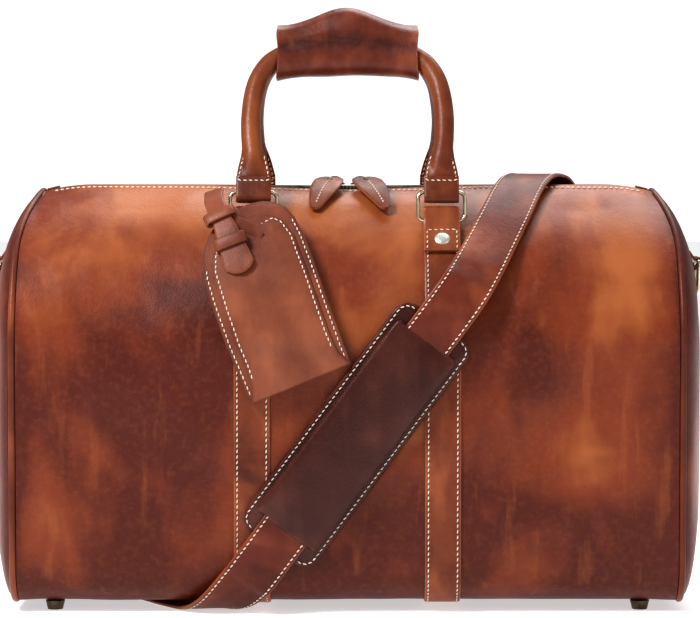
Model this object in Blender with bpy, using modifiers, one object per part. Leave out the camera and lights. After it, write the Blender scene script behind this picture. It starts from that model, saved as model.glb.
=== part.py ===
"""Leather duffel bag with two roll handles, a two-way zip, a luggage tag and a padded shoulder strap.

Metres, +Z up. The front faces -Y, the length runs along X, and z = 0 is the underside of the feet.
"""

import math

import bmesh
import bpy
from mathutils import Matrix, Vector

# Bag shell
HALF_LENGTH = 0.2475
TOP_LEAN = 0.0115
HALF_DEPTH = 0.115
BASE_Z = 0.007
SPRING_Z = 0.205
TOP_Z = 0.323
ARCH_POWER = 1.65
CORNER = 0.030
LEATHER = 0.0025
GAP = 0.0003
PIPING_R = 0.0027
END_BULGE = 0.0145
# Handles and their rings
RING_X = 0.0715
RING_LOW = (-0.0690, 0.2945)
RING_HIGH = (-0.0645, 0.3160)
RING_HALF_W = 0.0178
WIRE_R = 0.0015
ROLL_R = 0.0074
FRONT_TOP = (-0.0079, 0.4295)
REAR_TOP = (0.0079, 0.4300)
# Zip
TEETH_Z = (0.3172, 0.3208)
SLIDER_X = 0.0100
BAIL_Z = 0.3268
# Shoulder strap
STRAP_W = 0.0385
STRAP_T = 0.0034
PAD_CENTRE = Vector((0.0065, -0.1250, 0.1360))
PAD_DOWN = Vector((-0.5965, 0.0, -0.8026))

LEATHER_TAN = (0.45, 0.16, 0.06, 1.0)
LEATHER_DARK = (0.16, 0.045, 0.03, 1.0)
BRASS = (0.69, 0.62, 0.42, 1.0)
STEEL = (0.75, 0.72, 0.62, 1.0)

for old in list(bpy.data.objects):
    bpy.data.objects.remove(old, do_unlink=True)

bag = bpy.data.collections.new("Duffel bag")
bpy.context.scene.collection.children.link(bag)
cutters = bpy.data.collections.new("Cutters")
bpy.context.scene.collection.children.link(cutters)


def finish(obj, color, roughness, metallic=0.0):
    """Give an object its own material and its place in the bag's collection."""
    mat = bpy.data.materials.new(obj.name)
    mat.use_nodes = True
    shader = mat.node_tree.nodes["Principled BSDF"]
    shader.inputs["Base Color"].default_value = color
    shader.inputs["Roughness"].default_value = roughness
    shader.inputs["Metallic"].default_value = metallic
    obj.data.materials.clear()
    obj.data.materials.append(mat)
    bag.objects.link(obj)
    return obj


def from_bmesh(name, bm, smooth=True):
    bmesh.ops.remove_doubles(bm, verts=bm.verts, dist=1e-6)
    bmesh.ops.recalc_face_normals(bm, faces=bm.faces)
    whole = all(e.is_manifold for e in bm.edges)
    if whole and bm.calc_volume(signed=True) < 0:
        bmesh.ops.reverse_faces(bm, faces=bm.faces)
    mesh = bpy.data.meshes.new(name)
    bm.to_mesh(mesh)
    bm.free()
    if smooth:
        mesh.polygons.foreach_set("use_smooth", [True] * len(mesh.polygons))
        mesh.set_sharp_from_angle(angle=math.radians(40))
    return bpy.data.objects.new(name, mesh)


def loft(rings, closed=False):
    """A solid through rings of points, each ring joined to the next and the ends capped."""
    bm = bmesh.new()
    loops = [[bm.verts.new(p) for p in ring] for ring in rings]
    pairs = list(zip(loops, loops[1:]))
    if closed:
        pairs.append((loops[-1], loops[0]))
    for first, second in pairs:
        for i in range(len(first)):
            bm.faces.new((first[i - 1], first[i], second[i], second[i - 1]))
    if not closed:
        bm.faces.new(loops[0])
        bm.faces.new(loops[-1])
    return bm


def section(centre, wide, thick, a, b, power=2.0, count=12):
    """A superellipse ring: half-width a along wide, half-thickness b along thick."""
    ring = []
    for i in range(count):
        t = 2 * math.pi * (i + 0.5) / count
        c, s = math.cos(t), math.sin(t)
        u = math.copysign(abs(c) ** (2 / power), c) * a
        v = math.copysign(abs(s) ** (2 / power), s) * b
        ring.append(Vector(centre) + Vector(wide) * u + Vector(thick) * v)
    return ring


def bar(centre, wide, thick, a, b):
    """A four-cornered ring, for straps and plates."""
    corners = ((-a, -b), (a, -b), (a, b), (-a, b))
    return [Vector(centre) + Vector(wide) * u + Vector(thick) * v for u, v in corners]


def tube(name, points, radius, closed=False, resolution=1, count=2):
    """A bevelled curve turned into a mesh, without linking it anywhere."""
    curve = bpy.data.curves.new(name, "CURVE")
    curve.dimensions = "3D"
    curve.bevel_depth = radius
    curve.bevel_resolution = count
    curve.resolution_u = resolution
    curve.use_fill_caps = True
    spline = curve.splines.new("POLY")
    spline.points.add(len(points) - 1)
    for point, co in zip(spline.points, points):
        point.co = (*co, 1.0)
    spline.use_cyclic_u = closed
    guide = bpy.data.objects.new(name + "_curve", curve)
    cutters.objects.link(guide)
    bpy.context.view_layer.update()
    mesh = bpy.data.meshes.new_from_object(guide)
    bpy.data.objects.remove(guide)
    bm = bmesh.new()
    bm.from_mesh(mesh)
    bpy.data.meshes.remove(mesh)
    return from_bmesh(name, bm)


def box(name, low, high, bevel=0.0):
    bm = bmesh.new()
    size = [h - l for l, h in zip(low, high)]
    middle = [(h + l) / 2 for l, h in zip(low, high)]
    matrix = Matrix.Translation(middle) @ Matrix.Diagonal((*size, 1.0))
    bmesh.ops.create_cube(bm, size=1.0, matrix=matrix)
    if bevel:
        edges = [e for e in bm.edges if abs((e.verts[0].co - e.verts[1].co).z) > size[2] * 0.9]
        bmesh.ops.bevel(bm, geom=edges, offset=bevel, segments=3, affect="EDGES", profile=0.5)
    return from_bmesh(name, bm, smooth=False)


def cylinder(name, centre, direction, radius, length, count=16, top=None):
    bm = bmesh.new()
    turn = Vector(direction).to_track_quat("Z", "Y").to_matrix().to_4x4()
    bmesh.ops.create_cone(
        bm,
        cap_ends=True,
        segments=count,
        radius1=radius,
        radius2=radius if top is None else top,
        depth=length,
        matrix=Matrix.Translation(centre) @ turn,
    )
    return from_bmesh(name, bm)


def combine(obj, other, operation):
    """Boolean the second object into the first; the second stays as a hidden cutter."""
    cutters.objects.link(other)
    other.hide_render = True
    other.display_type = "WIRE"
    modifier = obj.modifiers.new(operation.title(), "BOOLEAN")
    modifier.operation = operation
    modifier.solver = "EXACT"
    modifier.object = other


def solidify(obj, thickness, offset=-1.0):
    modifier = obj.modifiers.new("Solidify", "SOLIDIFY")
    modifier.thickness = thickness
    modifier.offset = offset
    modifier.use_even_offset = True


# ---------------------------------------------------------------- end profile of the bag


def arch_z(y, inset=0.0):
    """Height of the shell's surface at a depth y on the arched top."""
    share = min(abs(y) / (HALF_DEPTH - inset), 1.0)
    return SPRING_Z + (TOP_Z - SPRING_Z - inset) * (1 - share**ARCH_POWER) ** (1 / ARCH_POWER)


def arch_normal(y):
    step = 0.0005
    slope = (arch_z(y + step) - arch_z(y - step)) / (2 * step)
    return Vector((0.0, -slope, 1.0)).normalized()


def half_length(z):
    """The ends lean in a little above the spring line."""
    rise = max(0.0, z - SPRING_Z - 0.02) / (TOP_Z - SPRING_Z - 0.02)
    return HALF_LENGTH - TOP_LEAN * rise**1.3


def front_profile(inset=0.0, first_y=0.0, arch=9, corner=4, last_y=0.0):
    """Points (y, z) from the top at -first_y down the front and under the base to -last_y."""
    depth, top = HALF_DEPTH - inset, TOP_Z - SPRING_Z - inset
    points = []
    for i in range(arch + 1):
        t = math.pi / 2 * (1 - i / arch)
        y = depth * math.cos(t) ** (2 / ARCH_POWER)
        z = SPRING_Z + top * math.sin(t) ** (2 / ARCH_POWER)
        if y > first_y + 0.004:
            points.append((-y, z))
    if first_y or True:
        points.insert(0, (-first_y, arch_z(first_y, inset)))
    radius = CORNER - inset
    for i in range(corner + 1):
        t = math.pi / 2 * i / corner
        y = depth - radius + radius * math.cos(t)
        z = BASE_Z + inset + radius - radius * math.sin(t)
        points.append((-y, z))
    if last_y < depth - radius - 0.002:
        points.append((-last_y, BASE_Z + inset))
    return points


def loop_profile(inset=0.0, arch=9, corner=4):
    front = front_profile(inset, 0.0, arch, corner, 0.0)
    rear = [(-y, z) for y, z in front[-2:0:-1]]
    return front + rear


# ---------------------------------------------------------------- shell panels


def strip_panel(name, profile, thickness, inner=0.0):
    """A panel that follows the profile from one end seam to the other, thickened inwards."""
    bm = bmesh.new()
    rows = []
    for y, z in profile:
        half = half_length(z) - inner
        rows.append([bm.verts.new((s * half, y, z)) for s in (-1, 1)])
    for low, high in zip(rows, rows[1:]):
        bm.faces.new((low[0], low[1], high[1], high[0]))
    obj = from_bmesh(name, bm)
    return obj


def outward(obj, sign):
    """Turn the panel's faces so that their normals point away from the inside of the bag."""
    middle = Vector((0.0, 0.0, 0.17))
    face = obj.data.polygons[len(obj.data.polygons) // 2]
    if (face.center - middle).dot(face.normal) * sign < 0:
        obj.data.flip_normals()


front = front_profile(0.0, 0.0120, last_y=0.0842)
seam = [(y, z) for y, z in front if y < -0.0842 or z > 0.1]
panel = strip_panel("front_panel", seam, LEATHER)
outward(panel, 1)
solidify(panel, LEATHER)
finish(panel, LEATHER_TAN, 0.45)

rear_seam = [(-y, z) for y, z in seam]
panel = strip_panel("back_panel", rear_seam, LEATHER)
outward(panel, 1)
solidify(panel, LEATHER)
finish(panel, LEATHER_TAN, 0.45)

base = box(
    "base_panel",
    (-HALF_LENGTH, -0.0838, BASE_Z),
    (HALF_LENGTH, 0.0838, BASE_Z + 0.0027),
)
finish(base, LEATHER_DARK, 0.5)

for side, label in ((-1, "left"), (1, "right")):
    profile = loop_profile(0.0)
    count = len(profile)
    rim_x = PIPING_R * 2 + 2 * GAP
    bm = bmesh.new()
    rings = []
    centre_z = 0.165
    for share, push in ((0.985, 0.0), (0.93, 0.35), (0.78, 0.75), (0.45, 0.95)):
        ring = []
        for y, z in profile:
            x = half_length(z) + rim_x + END_BULGE * push
            ring.append(bm.verts.new((side * x, y * share, centre_z + (z - centre_z) * share)))
        rings.append(ring)
    for a, b in zip(rings, rings[1:]):
        for i in range(count):
            j = (i + 1) % count
            bm.faces.new((a[i], a[j], b[j], b[i]))
    bmesh.ops.contextual_create(bm, geom=rings[-1])
    end = from_bmesh(label + "_end_panel", bm)
    big = max(end.data.polygons, key=lambda p: p.area)
    if big.normal.x * side < 0:
        end.data.flip_normals()
    solidify(end, LEATHER, 1.0)
    finish(end, LEATHER_TAN, 0.45)

    path = []
    for y, z in loop_profile(0.0012):
        path.append((side * (half_length(z) + PIPING_R + GAP), y, z))
    piping = tube(label + "_piping", path, PIPING_R, closed=True, count=1)
    finish(piping, LEATHER_DARK, 0.4)

# Lining: a thin fabric box inside the shell, open along the zip
INSET = 0.0050
inner = front_profile(INSET, 0.0125, arch=7, corner=2)
inner = inner + [(-y, z) for y, z in inner[-2::-1]]
lining = bmesh.new()
rows = []
for y, z in inner:
    half = half_length(z) - 0.0005
    rows.append([lining.verts.new((s * half, y, z)) for s in (-1, 1)])
for low, high in zip(rows, rows[1:]):
    lining.faces.new((low[0], low[1], high[1], high[0]))
for s in (0, 1):
    end_ring = [r[s] for r in rows]
    lining.faces.new(end_ring if s else end_ring[::-1])
lining_obj = from_bmesh("lining", lining)
side_face = max(lining_obj.data.polygons, key=lambda p: abs(p.normal.x) * p.area)
if side_face.normal.x * side_face.center.x < 0:
    lining_obj.data.flip_normals()
solidify(lining_obj, 0.0008)
finish(lining_obj, (0.22, 0.15, 0.09, 1.0), 0.85)

board = box("base_board", (-0.235, -0.078, BASE_Z + 0.0030), (0.235, 0.078, BASE_Z + 0.0047), 0.01)
finish(board, (0.35, 0.28, 0.20, 1.0), 0.9)

FOOT_X, FOOT_Y = 0.222, 0.084
for name, x, y in (
    ("foot_front_left", -FOOT_X, -FOOT_Y),
    ("foot_front_right", FOOT_X, -FOOT_Y),
    ("foot_rear_left", -FOOT_X, FOOT_Y),
    ("foot_rear_right", FOOT_X, FOOT_Y),
    ("foot_centre", 0.0, 0.0),
):
    height = BASE_Z - GAP
    foot = cylinder(name, (0.0, 0.0, 0.0), (0, 0, -1), 0.0074, height, 16, 0.0058)
    foot.location = (x, y, height / 2)
    finish(foot, BRASS, 0.35, 1.0)

# ---------------------------------------------------------------- bands, anchors and rivets


def on_arch(y, height):
    """A point (y, z) at a height above the arched surface, on either side."""
    normal = arch_normal(y)
    return y + normal.y * height, arch_z(y) + normal.z * height


def shell_points(height, start_y, arch=6, corner=4):
    """Points (y, z) at a height above the shell, from -start_y on the arch to under the base."""
    points = [on_arch(-start_y, height)]
    for i in range(1, arch + 1):
        y = -start_y - (0.1135 - start_y) * (i / arch) ** 0.8
        points.append(on_arch(y, height))
    points.append((-HALF_DEPTH - height, SPRING_Z))
    radius = CORNER + height
    for i in range(corner + 1):
        t = math.pi / 2 * i / corner
        y = HALF_DEPTH - CORNER + radius * math.cos(t)
        z = BASE_Z + CORNER - radius * math.sin(t)
        points.append((-y, z))
    return points


BAND_T = 0.0020
for side, label in ((-1, "left"), (1, "right")):
    low = shell_points(GAP, 0.0790)
    high = shell_points(GAP + BAND_T, 0.0790)
    front_half = list(zip(low, high))
    both = front_half + [((-a[0], a[1]), (-b[0], b[1])) for a, b in front_half[::-1]]
    x0 = side * RING_X - 0.0135
    rings = []
    for (ly, lz), (hy, hz) in both:
        rings.append([(x0, ly, lz), (x0 + 0.027, ly, lz), (x0 + 0.027, hy, hz), (x0, hy, hz)])
    band = from_bmesh(label + "_band", loft(rings), smooth=False)
    finish(band, LEATHER_DARK, 0.45)

for end, end_label in ((-1, "front"), (1, "rear")):
    for side, label in ((-1, "left"), (1, "right")):
        x = side * RING_X
        wall = BAND_T + 2 * GAP
        outline = []
        lower = [on_arch(-y, wall) for y in (0.0720, 0.0770, 0.0820, 0.0868)]
        upper = [on_arch(-y, wall + 0.0034) for y in (0.0868, 0.0820, 0.0784)]
        outline = lower + upper
        cy, cz = RING_LOW
        for angle in (205, 170, 135, 100, 65, 30, -5, -40):
            t = math.radians(angle)
            outline.append((cy + 0.0038 * math.cos(t), cz + 0.0038 * math.sin(t)))
        rings = []
        for dx in (-0.0138, 0.0138):
            rings.append([(x + dx, -end * y, z) for y, z in outline])
        anchor = from_bmesh(f"{end_label}_{label}_anchor", loft(rings), smooth=False)
        hole = cylinder(anchor.name + "_bore", (x, -end * cy, cz), (1, 0, 0), 0.0019, 0.04, 12)
        combine(anchor, hole, "DIFFERENCE")
        finish(anchor, LEATHER_DARK, 0.45)
        ry, rz = on_arch(-0.0796, wall + 0.0034 + GAP + 0.0009)
        normal = arch_normal(-0.0796)
        rivet = cylinder(
            f"{end_label}_{label}_rivet",
            (0.0, 0.0, 0.0),
            (0.0, -end * normal.y, normal.z),
            0.0060,
            0.0018,
            16,
            0.0042,
        )
        rivet.location = (x, -end * ry, rz)
        finish(rivet, STEEL, 0.3, 1.0)

# ---------------------------------------------------------------- rings of the handles


def frame_path(x, low, high, half_w, corner, count=3):
    """A rounded rectangle in the plane of the x axis and the line from low to high."""
    up = Vector((0.0, high[0] - low[0], high[1] - low[1]))
    tall = up.length
    up.normalize()
    middle = Vector((x, (low[0] + high[0]) / 2, (low[1] + high[1]) / 2))
    points = []
    for quarter, (sx, sz) in enumerate(((1, 1), (-1, 1), (-1, -1), (1, -1))):
        for i in range(count + 1):
            t = math.pi / 2 * (quarter + i / count)
            u = sx * (half_w - corner) + corner * math.cos(t)
            v = sz * (tall / 2 - corner) + corner * math.sin(t)
            points.append(middle + Vector((u, 0, 0)) + up * v)
    return points


for end, end_label in ((-1, "front"), (1, "rear")):
    low = (-end * RING_LOW[0], RING_LOW[1])
    high = (-end * RING_HIGH[0], RING_HIGH[1])
    for side, label in ((-1, "left"), (1, "right")):
        path = frame_path(side * RING_X, low, high, RING_HALF_W, 0.0045, 2)
        ring = tube(f"{end_label}_{label}_ring", path, WIRE_R, closed=True, count=1)
        finish(ring, BRASS, 0.28, 1.0)

# ---------------------------------------------------------------- handles and the wrap


def handle_line(top):
    """Centre-line of half a handle as (x, z), from the roll's foot up to the middle."""
    rise = top[1] - 0.4295
    return [
        (0.0722, 0.3420),
        (0.0738, 0.3560),
        (0.0742, 0.3720),
        (0.0728, 0.3880 + rise * 0.4),
        (0.0690, 0.4020 + rise * 0.7),
        (0.0620, 0.4130 + rise * 0.9),
        (0.0530, 0.4200 + rise),
        (0.0400, 0.4255 + rise),
        (0.0240, 0.4285 + rise),
        (0.0, 0.4295 + rise),
    ]


for end, end_label, top in ((-1, "front", FRONT_TOP), (1, "rear", REAR_TOP)):
    foot_y = -end * RING_HIGH[0]
    lean = Vector((0.0, top[0] - foot_y, top[1] - RING_HIGH[1])).normalized()
    across = Vector((1.0, 0.0, 0.0)).cross(lean)

    def leg(z, x):
        share = (z - RING_HIGH[1]) / (top[1] - RING_HIGH[1])
        return Vector((x, foot_y + (top[0] - foot_y) * share, z))

    half = handle_line(top)
    path = [leg(z, x) for x, z in half]
    path = [leg(0.3180, RING_X), leg(0.3300, RING_X)] + path
    sizes = [(0.0133, 0.0031, 6.0), (0.0135, 0.0033, 6.0), (0.0105, 0.0058, 3.0)]
    sizes += [(ROLL_R, ROLL_R, 2.0)] * (len(path) - len(sizes))
    mirror = [Vector((-p.x, p.y, p.z)) for p in path[-2::-1]]
    line, sizes = path + mirror, sizes + sizes[-2::-1]
    rings = []
    for i, (point, (a, b, power)) in enumerate(zip(line, sizes)):
        before, after = line[max(i - 1, 0)], line[min(i + 1, len(line) - 1)]
        along = (after - before).normalized()
        wide = along.cross(across).normalized()
        rings.append(section(point, wide, across, a, b, power, 10))
    handle = from_bmesh(end_label + "_handle", loft(rings))
    for side in (-1, 1):
        centre = (side * RING_X, foot_y, RING_HIGH[1])
        eye = cylinder(f"{end_label}_eye_{side + 1}", centre, (1, 0, 0), 0.0040, 0.0266, 14)
        combine(handle, eye, "UNION")
        hole = cylinder(f"{end_label}_hole_{side + 1}", centre, (1, 0, 0), 0.0018, 0.04, 12)
        combine(handle, hole, "DIFFERENCE")
    finish(handle, (0.42, 0.15, 0.06, 1.0), 0.4)

WRAP_HALF = 0.0540
WRAP_T = 0.0022
HINGE = Vector((0.0, -0.0040, 0.4580))


def wrap_shell(name, outline, half, color):
    """A leather sheet that follows an outline (y, z), extruded along X and thickened outwards."""
    bm = bmesh.new()
    rows = [[bm.verts.new((s * half, y, z)) for s in (-1, 1)] for y, z in outline]
    for a, b in zip(rows, rows[1:]):
        bm.faces.new((a[0], a[1], b[1], b[0]))
    obj = from_bmesh(name, bm)
    face = obj.data.polygons[len(obj.data.polygons) // 2]
    if (face.center - Vector((0.0, 0.0, 0.437))).dot(face.normal) < 0:
        obj.data.flip_normals()
    solidify(obj, WRAP_T, 1.0)
    return finish(obj, color, 0.45)


# Rear half, fixed to the rear handle: over the top and down the back
wrap_rear = [(-0.0030, 0.4552), (0.0040, 0.4553), (0.0105, 0.4535), (0.0152, 0.4475)]
wrap_rear += [(0.0180, 0.4380), (0.0200, 0.4290), (0.0216, 0.4195)]
wrap_shell("handle_wrap", wrap_rear, WRAP_HALF, LEATHER_DARK)

# Front half, a flap: down the front and under both rolls
wrap_front = [(-0.0060, 0.4580), (-0.0110, 0.4540), (-0.0154, 0.4450), (-0.0188, 0.4340)]
wrap_front += [(-0.0218, 0.4220), (-0.0212, 0.4120), (-0.0125, 0.4066), (0.0010, 0.4066)]
wrap_shell("wrap_flap", wrap_front, WRAP_HALF, LEATHER_DARK)
# ---------------------------------------------------------------- zip

for end, end_label in ((-1, "front"), (1, "rear")):
    low_z, high_z = TEETH_Z
    outline = [
        (0.0006, low_z),
        (0.0034, low_z),
        (0.0034, 0.3180),
        (0.0120, 0.3172),
        (0.0190, 0.3150),
        (0.0190, 0.3156),
        (0.0120, 0.3179),
        (0.0034, 0.3188),
        (0.0034, high_z),
        (0.0006, high_z),
    ]
    rings = [[(x, -end * -y, z) for y, z in outline] for x in (-0.226, 0.226)]
    tape = from_bmesh(end_label + "_zip_tape", loft(rings), smooth=False)
    finish(tape, (0.09, 0.07, 0.06, 1.0), 0.6)

for side, label in ((-1, "left"), (1, "right")):
    low_x, high_x = sorted((side * 0.2264, side * 0.2355))
    stop = box(label + "_zip_end", (low_x, -0.0105, 0.3195), (high_x, 0.0105, 0.3216))
    finish(stop, LEATHER_DARK, 0.5)

    x = side * SLIDER_X
    slider = box(label + "_slider", (x - 0.0080, -0.0058, 0.3211), (x + 0.0080, 0.0058, 0.3225))
    plate = box(label + "_plate", (x - 0.0080, -0.0058, 0.3155), (x + 0.0080, 0.0058, 0.3169))
    combine(slider, plate, "UNION")
    post = box(label + "_post", (x - 0.0020, -0.0003, 0.3160), (x + 0.0020, 0.0003, 0.3215))
    combine(slider, post, "UNION")
    for k in (-1, 1):
        cheek = box(
            f"{label}_cheek_{k + 1}",
            (x + k * 0.0052 - 0.0010, -0.0016, 0.3220),
            (x + k * 0.0052 + 0.0010, 0.0016, 0.3277),
        )
        combine(slider, cheek, "UNION")
    pin = cylinder(label + "_bail", (x, 0.0, BAIL_Z), (1, 0, 0), 0.0009, 0.0104, 10)
    combine(slider, pin, "UNION")
    finish(slider, (0.30, 0.27, 0.22, 1.0), 0.35, 1.0)

    # The pull hangs over the front edge of the zip: a wire link and a leather leaf
    link_low = (-0.0130, BAIL_Z - 0.0019)
    path = frame_path(x, link_low, (0.0025, BAIL_Z - 0.0018), 0.0032, 0.0015, 2)
    link = tube(label + "_pull_link", path, 0.0007, closed=True, count=1)
    finish(link, (0.40, 0.37, 0.30, 1.0), 0.35, 1.0)
    rings = []
    stations = (
        (-0.0098, 0.0062),
        (-0.0160, 0.0080),
        (-0.0260, 0.0094),
        (-0.0360, 0.0095),
        (-0.0460, 0.0082),
        (-0.0530, 0.0058),
        (-0.0562, 0.0025),
    )
    for y, a in stations:
        wide = Vector((1.0, 0.0, 0.0))
        normal = arch_normal(y)
        py, pz = on_arch(y, 0.0042)
        skew = side * (0.002 + (0.014 if side > 0 else 0.0085) * (y + 0.0098) / -0.046)
        rings.append(bar((x + skew, py, pz), wide, normal, a, 0.0014))
    leaf = from_bmesh(label + "_pull_leaf", loft(rings), smooth=False)
    slot = box(
        label + "_leaf_slot",
        (x - 0.0049, -0.0145, 0.3210),
        (x + 0.0049, -0.0020, 0.3310),
    )
    combine(leaf, slot, "DIFFERENCE")
    finish(leaf, LEATHER_DARK, 0.45)

# ---------------------------------------------------------------- D-rings at the ends

for side, label in ((-1, "left"), (1, "right")):
    # The tab is folded round the ring's straight bar, which lies along Y
    cx, cz = side * 0.2740, 0.2610
    outline = [
        (0.2692, 0.2520),
        (0.2715, 0.2522),
        (0.2765, 0.2578),
        (0.2780, 0.2610),
        (0.2768, 0.2640),
        (0.2740, 0.2655),
        (0.2672, 0.2700),
    ]
    rings = [[(side * x, y, z) for x, z in outline] for y in (-0.0105, 0.0105)]
    tab = from_bmesh(label + "_dring_tab", loft(rings), smooth=False)
    bore = cylinder(label + "_dring_bore", (cx, 0.0, cz), (0, 1, 0), 0.0021, 0.04, 12)
    combine(tab, bore, "DIFFERENCE")
    finish(tab, LEATHER_DARK, 0.45)
    path = [(cx, -0.0150, cz), (cx, 0.0150, cz)]
    for i in range(1, 8):
        t = math.pi * i / 8
        path.append((cx, 0.0150 * math.cos(t), cz - 0.0060 - 0.0190 * math.sin(t)))
    ring = tube(label + "_dring", path, 0.0018, closed=True, count=1)
    finish(ring, BRASS, 0.28, 1.0)

# ---------------------------------------------------------------- luggage tag

TAG_SLOPE = 0.414
TAG_LOW = (-0.0345, 0.1742)
TAG_HIGH_Z = 0.2890


def front_surface(z, height):
    """The point (y, z) at a height above the shell's front, level with z on the shell."""
    rise = max(0.0, z - SPRING_Z) / (TOP_Z - SPRING_Z)
    y = -HALF_DEPTH * (1 - rise**ARCH_POWER) ** (1 / ARCH_POWER)
    normal = arch_normal(y) if rise > 0.01 else Vector((0.0, -1.0, 0.0))
    return Vector((0.0, y + normal.y * height, z + normal.z * height))


def tag_height(z):
    """The tag stands further off the shell where it lies over the band's rivet."""
    share = min(max((z - 0.19) / 0.07, 0.0), 1.0)
    ring = min(max((z - 0.262) / 0.028, 0.0), 1.0)
    return 0.0045 + 0.0065 * share + 0.0062 * ring


def tag_piece(name, stations, depth, thick, color):
    """A leaf that drapes over the front: stations of height on the shell and half-width."""
    rings, fine = [], [stations[0]]
    for (z0, a0), (z1, a1) in zip(stations, stations[1:]):
        steps = max(1, round((z0 - z1) / 0.0065))
        fine += [(z0 + (z1 - z0) * k / steps, a0 + (a1 - a0) * k / steps) for k in range(1, steps + 1)]
    for z, a in fine:
        x = TAG_LOW[0] - (z - TAG_LOW[1]) * TAG_SLOPE
        ring = []
        for lift, signs in ((0.0, (-1, 0, 1)), (thick, (1, 0, -1))):
            for sign in signs:
                end_z = z + sign * a * 0.3827
                point = front_surface(end_z, tag_height(end_z) + depth + lift)
                point.x = x + sign * a * 0.9239
                ring.append(point)
        rings.append(ring)
    return finish(from_bmesh(name, loft(rings), smooth=False), color, 0.5)


body_shape = [(TAG_HIGH_Z, 0.010), (0.2870, 0.019), (0.2830, 0.0265), (0.2775, 0.0330)]
body_shape += [(0.2690, 0.0380), (0.2570, 0.0400), (0.2380, 0.0405), (0.2150, 0.0405)]
body_shape += [(0.1850, 0.0405), (0.1765, 0.0395), (TAG_LOW[1], 0.0375)]
tag_piece("tag_body", body_shape, 0.0, 0.0034, LEATHER_TAN)
card = [(0.2610, 0.022), (0.2380, 0.022), (0.2150, 0.022), (0.1950, 0.022)]
tag_piece("tag_card", card, 0.0040, 0.0006, (0.85, 0.80, 0.70, 1.0))
panel_shape = [(0.2780, 0.008), (0.2755, 0.018), (0.2700, 0.0250), (0.2610, 0.0285)]
panel_shape += [(0.2380, 0.0295), (0.2150, 0.0295), (0.1900, 0.0295)]
tag_piece("tag_panel", panel_shape, 0.0050, 0.0016, LEATHER_TAN)

# The tag's strap runs up from the leaf and round the upper corner of the handle's ring
strap_points = [
    (-0.0780, 0.2480, 0.0094),
    (-0.0850, 0.2620, 0.0104),
    (-0.0915, 0.2740, 0.0112),
    (-0.0975, 0.2840, 0.0100),
    (-0.1010, 0.2920, 0.0068),
    (-0.1015, 0.3010, 0.0024),
]
rings = []
line = []
for x, z, height in strap_points:
    point = front_surface(z, tag_height(z) + height)
    point.x = x
    line.append(point)
for i, p in enumerate(line):
    along = (line[min(i + 1, len(line) - 1)] - line[max(i - 1, 0)]).normalized()
    wide = Vector((0.94, 0.0, 0.34))
    wide = (wide - along * wide.dot(along)).normalized()
    rings.append(bar(p, wide, along.cross(wide), 0.0074, 0.0011))
tag_strap = from_bmesh("tag_strap", loft(rings), smooth=False)
finish(tag_strap, LEATHER_TAN, 0.5)

# ---------------------------------------------------------------- shoulder strap and pad

PAD_OUT = Vector((0.0, -1.0, 0.0))
PAD_WIDE = Vector((0.8026, 0.0, -0.5965))

# Points of the centre-line with the outward direction of the strap's face
strap_line = []
for x, y, z, normal in (
    (0.1920, 0.1205, 0.1650, (0, 1, 0)),
    (0.1905, 0.1205, 0.2000, (0, 1, 0.05)),
    (0.1870, 0.1130, 0.2400, (0, 0.93, 0.36)),
    (0.1800, 0.0905, 0.2730, (0, 0.72, 0.69)),
    (0.1710, 0.0620, 0.3010, (0, 0.60, 0.80)),
    (0.1605, 0.0300, 0.3212, (0, 0.38, 0.92)),
    (0.1500, 0.0080, 0.3275, (0, 0.10, 0.99)),
    (0.1412, -0.0120, 0.3270, (0, -0.16, 0.98)),
    (0.1325, -0.0340, 0.3195, (0, -0.42, 0.90)),
    (0.1210, -0.0640, 0.3005, (0, -0.62, 0.78)),
    (0.1085, -0.0890, 0.2790, (0, -0.74, 0.66)),
    (0.0965, -0.1105, 0.2590, (0, -0.88, 0.47)),
):
    strap_line.append((Vector((x, y, z)), Vector(normal).normalized()))
for along in (-0.1260, 0.1270):
    strap_line.append((PAD_CENTRE + PAD_DOWN * along, PAD_OUT))
for x, y, z, normal in (
    (-0.0776, -0.1199, 0.0240, (0, -0.94, -0.34)),
    (-0.0875, -0.1135, 0.0141, (0, -0.72, -0.69)),
    (-0.0963, -0.1046, 0.0074, (0, -0.42, -0.91)),
    (-0.1046, -0.0948, 0.0036, (0, -0.12, -0.99)),
    (-0.1120, -0.0850, 0.0022, (0, 0.0, -1)),
    (-0.1300, -0.0600, 0.0022, (0, 0, -1)),
    (-0.1480, -0.0300, 0.0022, (0, 0, -1)),
    (-0.1620, 0.0000, 0.0022, (0, 0, -1)),
    (-0.1720, 0.0300, 0.0022, (0, 0, -1)),
    (-0.1790, 0.0600, 0.0022, (0, 0, -1)),
    (-0.1830, 0.0950, 0.0022, (0, 0, -1)),
    (-0.1850, 0.1250, 0.0022, (0, 0, -1)),
):
    strap_line.append((Vector((x, y, z)), Vector(normal).normalized()))
rings = []
for i, (point, normal) in enumerate(strap_line):
    before = strap_line[max(i - 1, 0)][0]
    after = strap_line[min(i + 1, len(strap_line) - 1)][0]
    if 11 < i < 14:
        before, after = PAD_CENTRE - PAD_DOWN, PAD_CENTRE + PAD_DOWN
    along = (after - before).normalized()
    wide = along.cross(normal).normalized()
    out = wide.cross(along).normalized()
    rings.append(bar(point, wide, out, STRAP_W / 2, STRAP_T / 2))
strap = from_bmesh("shoulder_strap", loft(rings), smooth=False)
finish(strap, LEATHER_DARK, 0.4)


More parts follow.
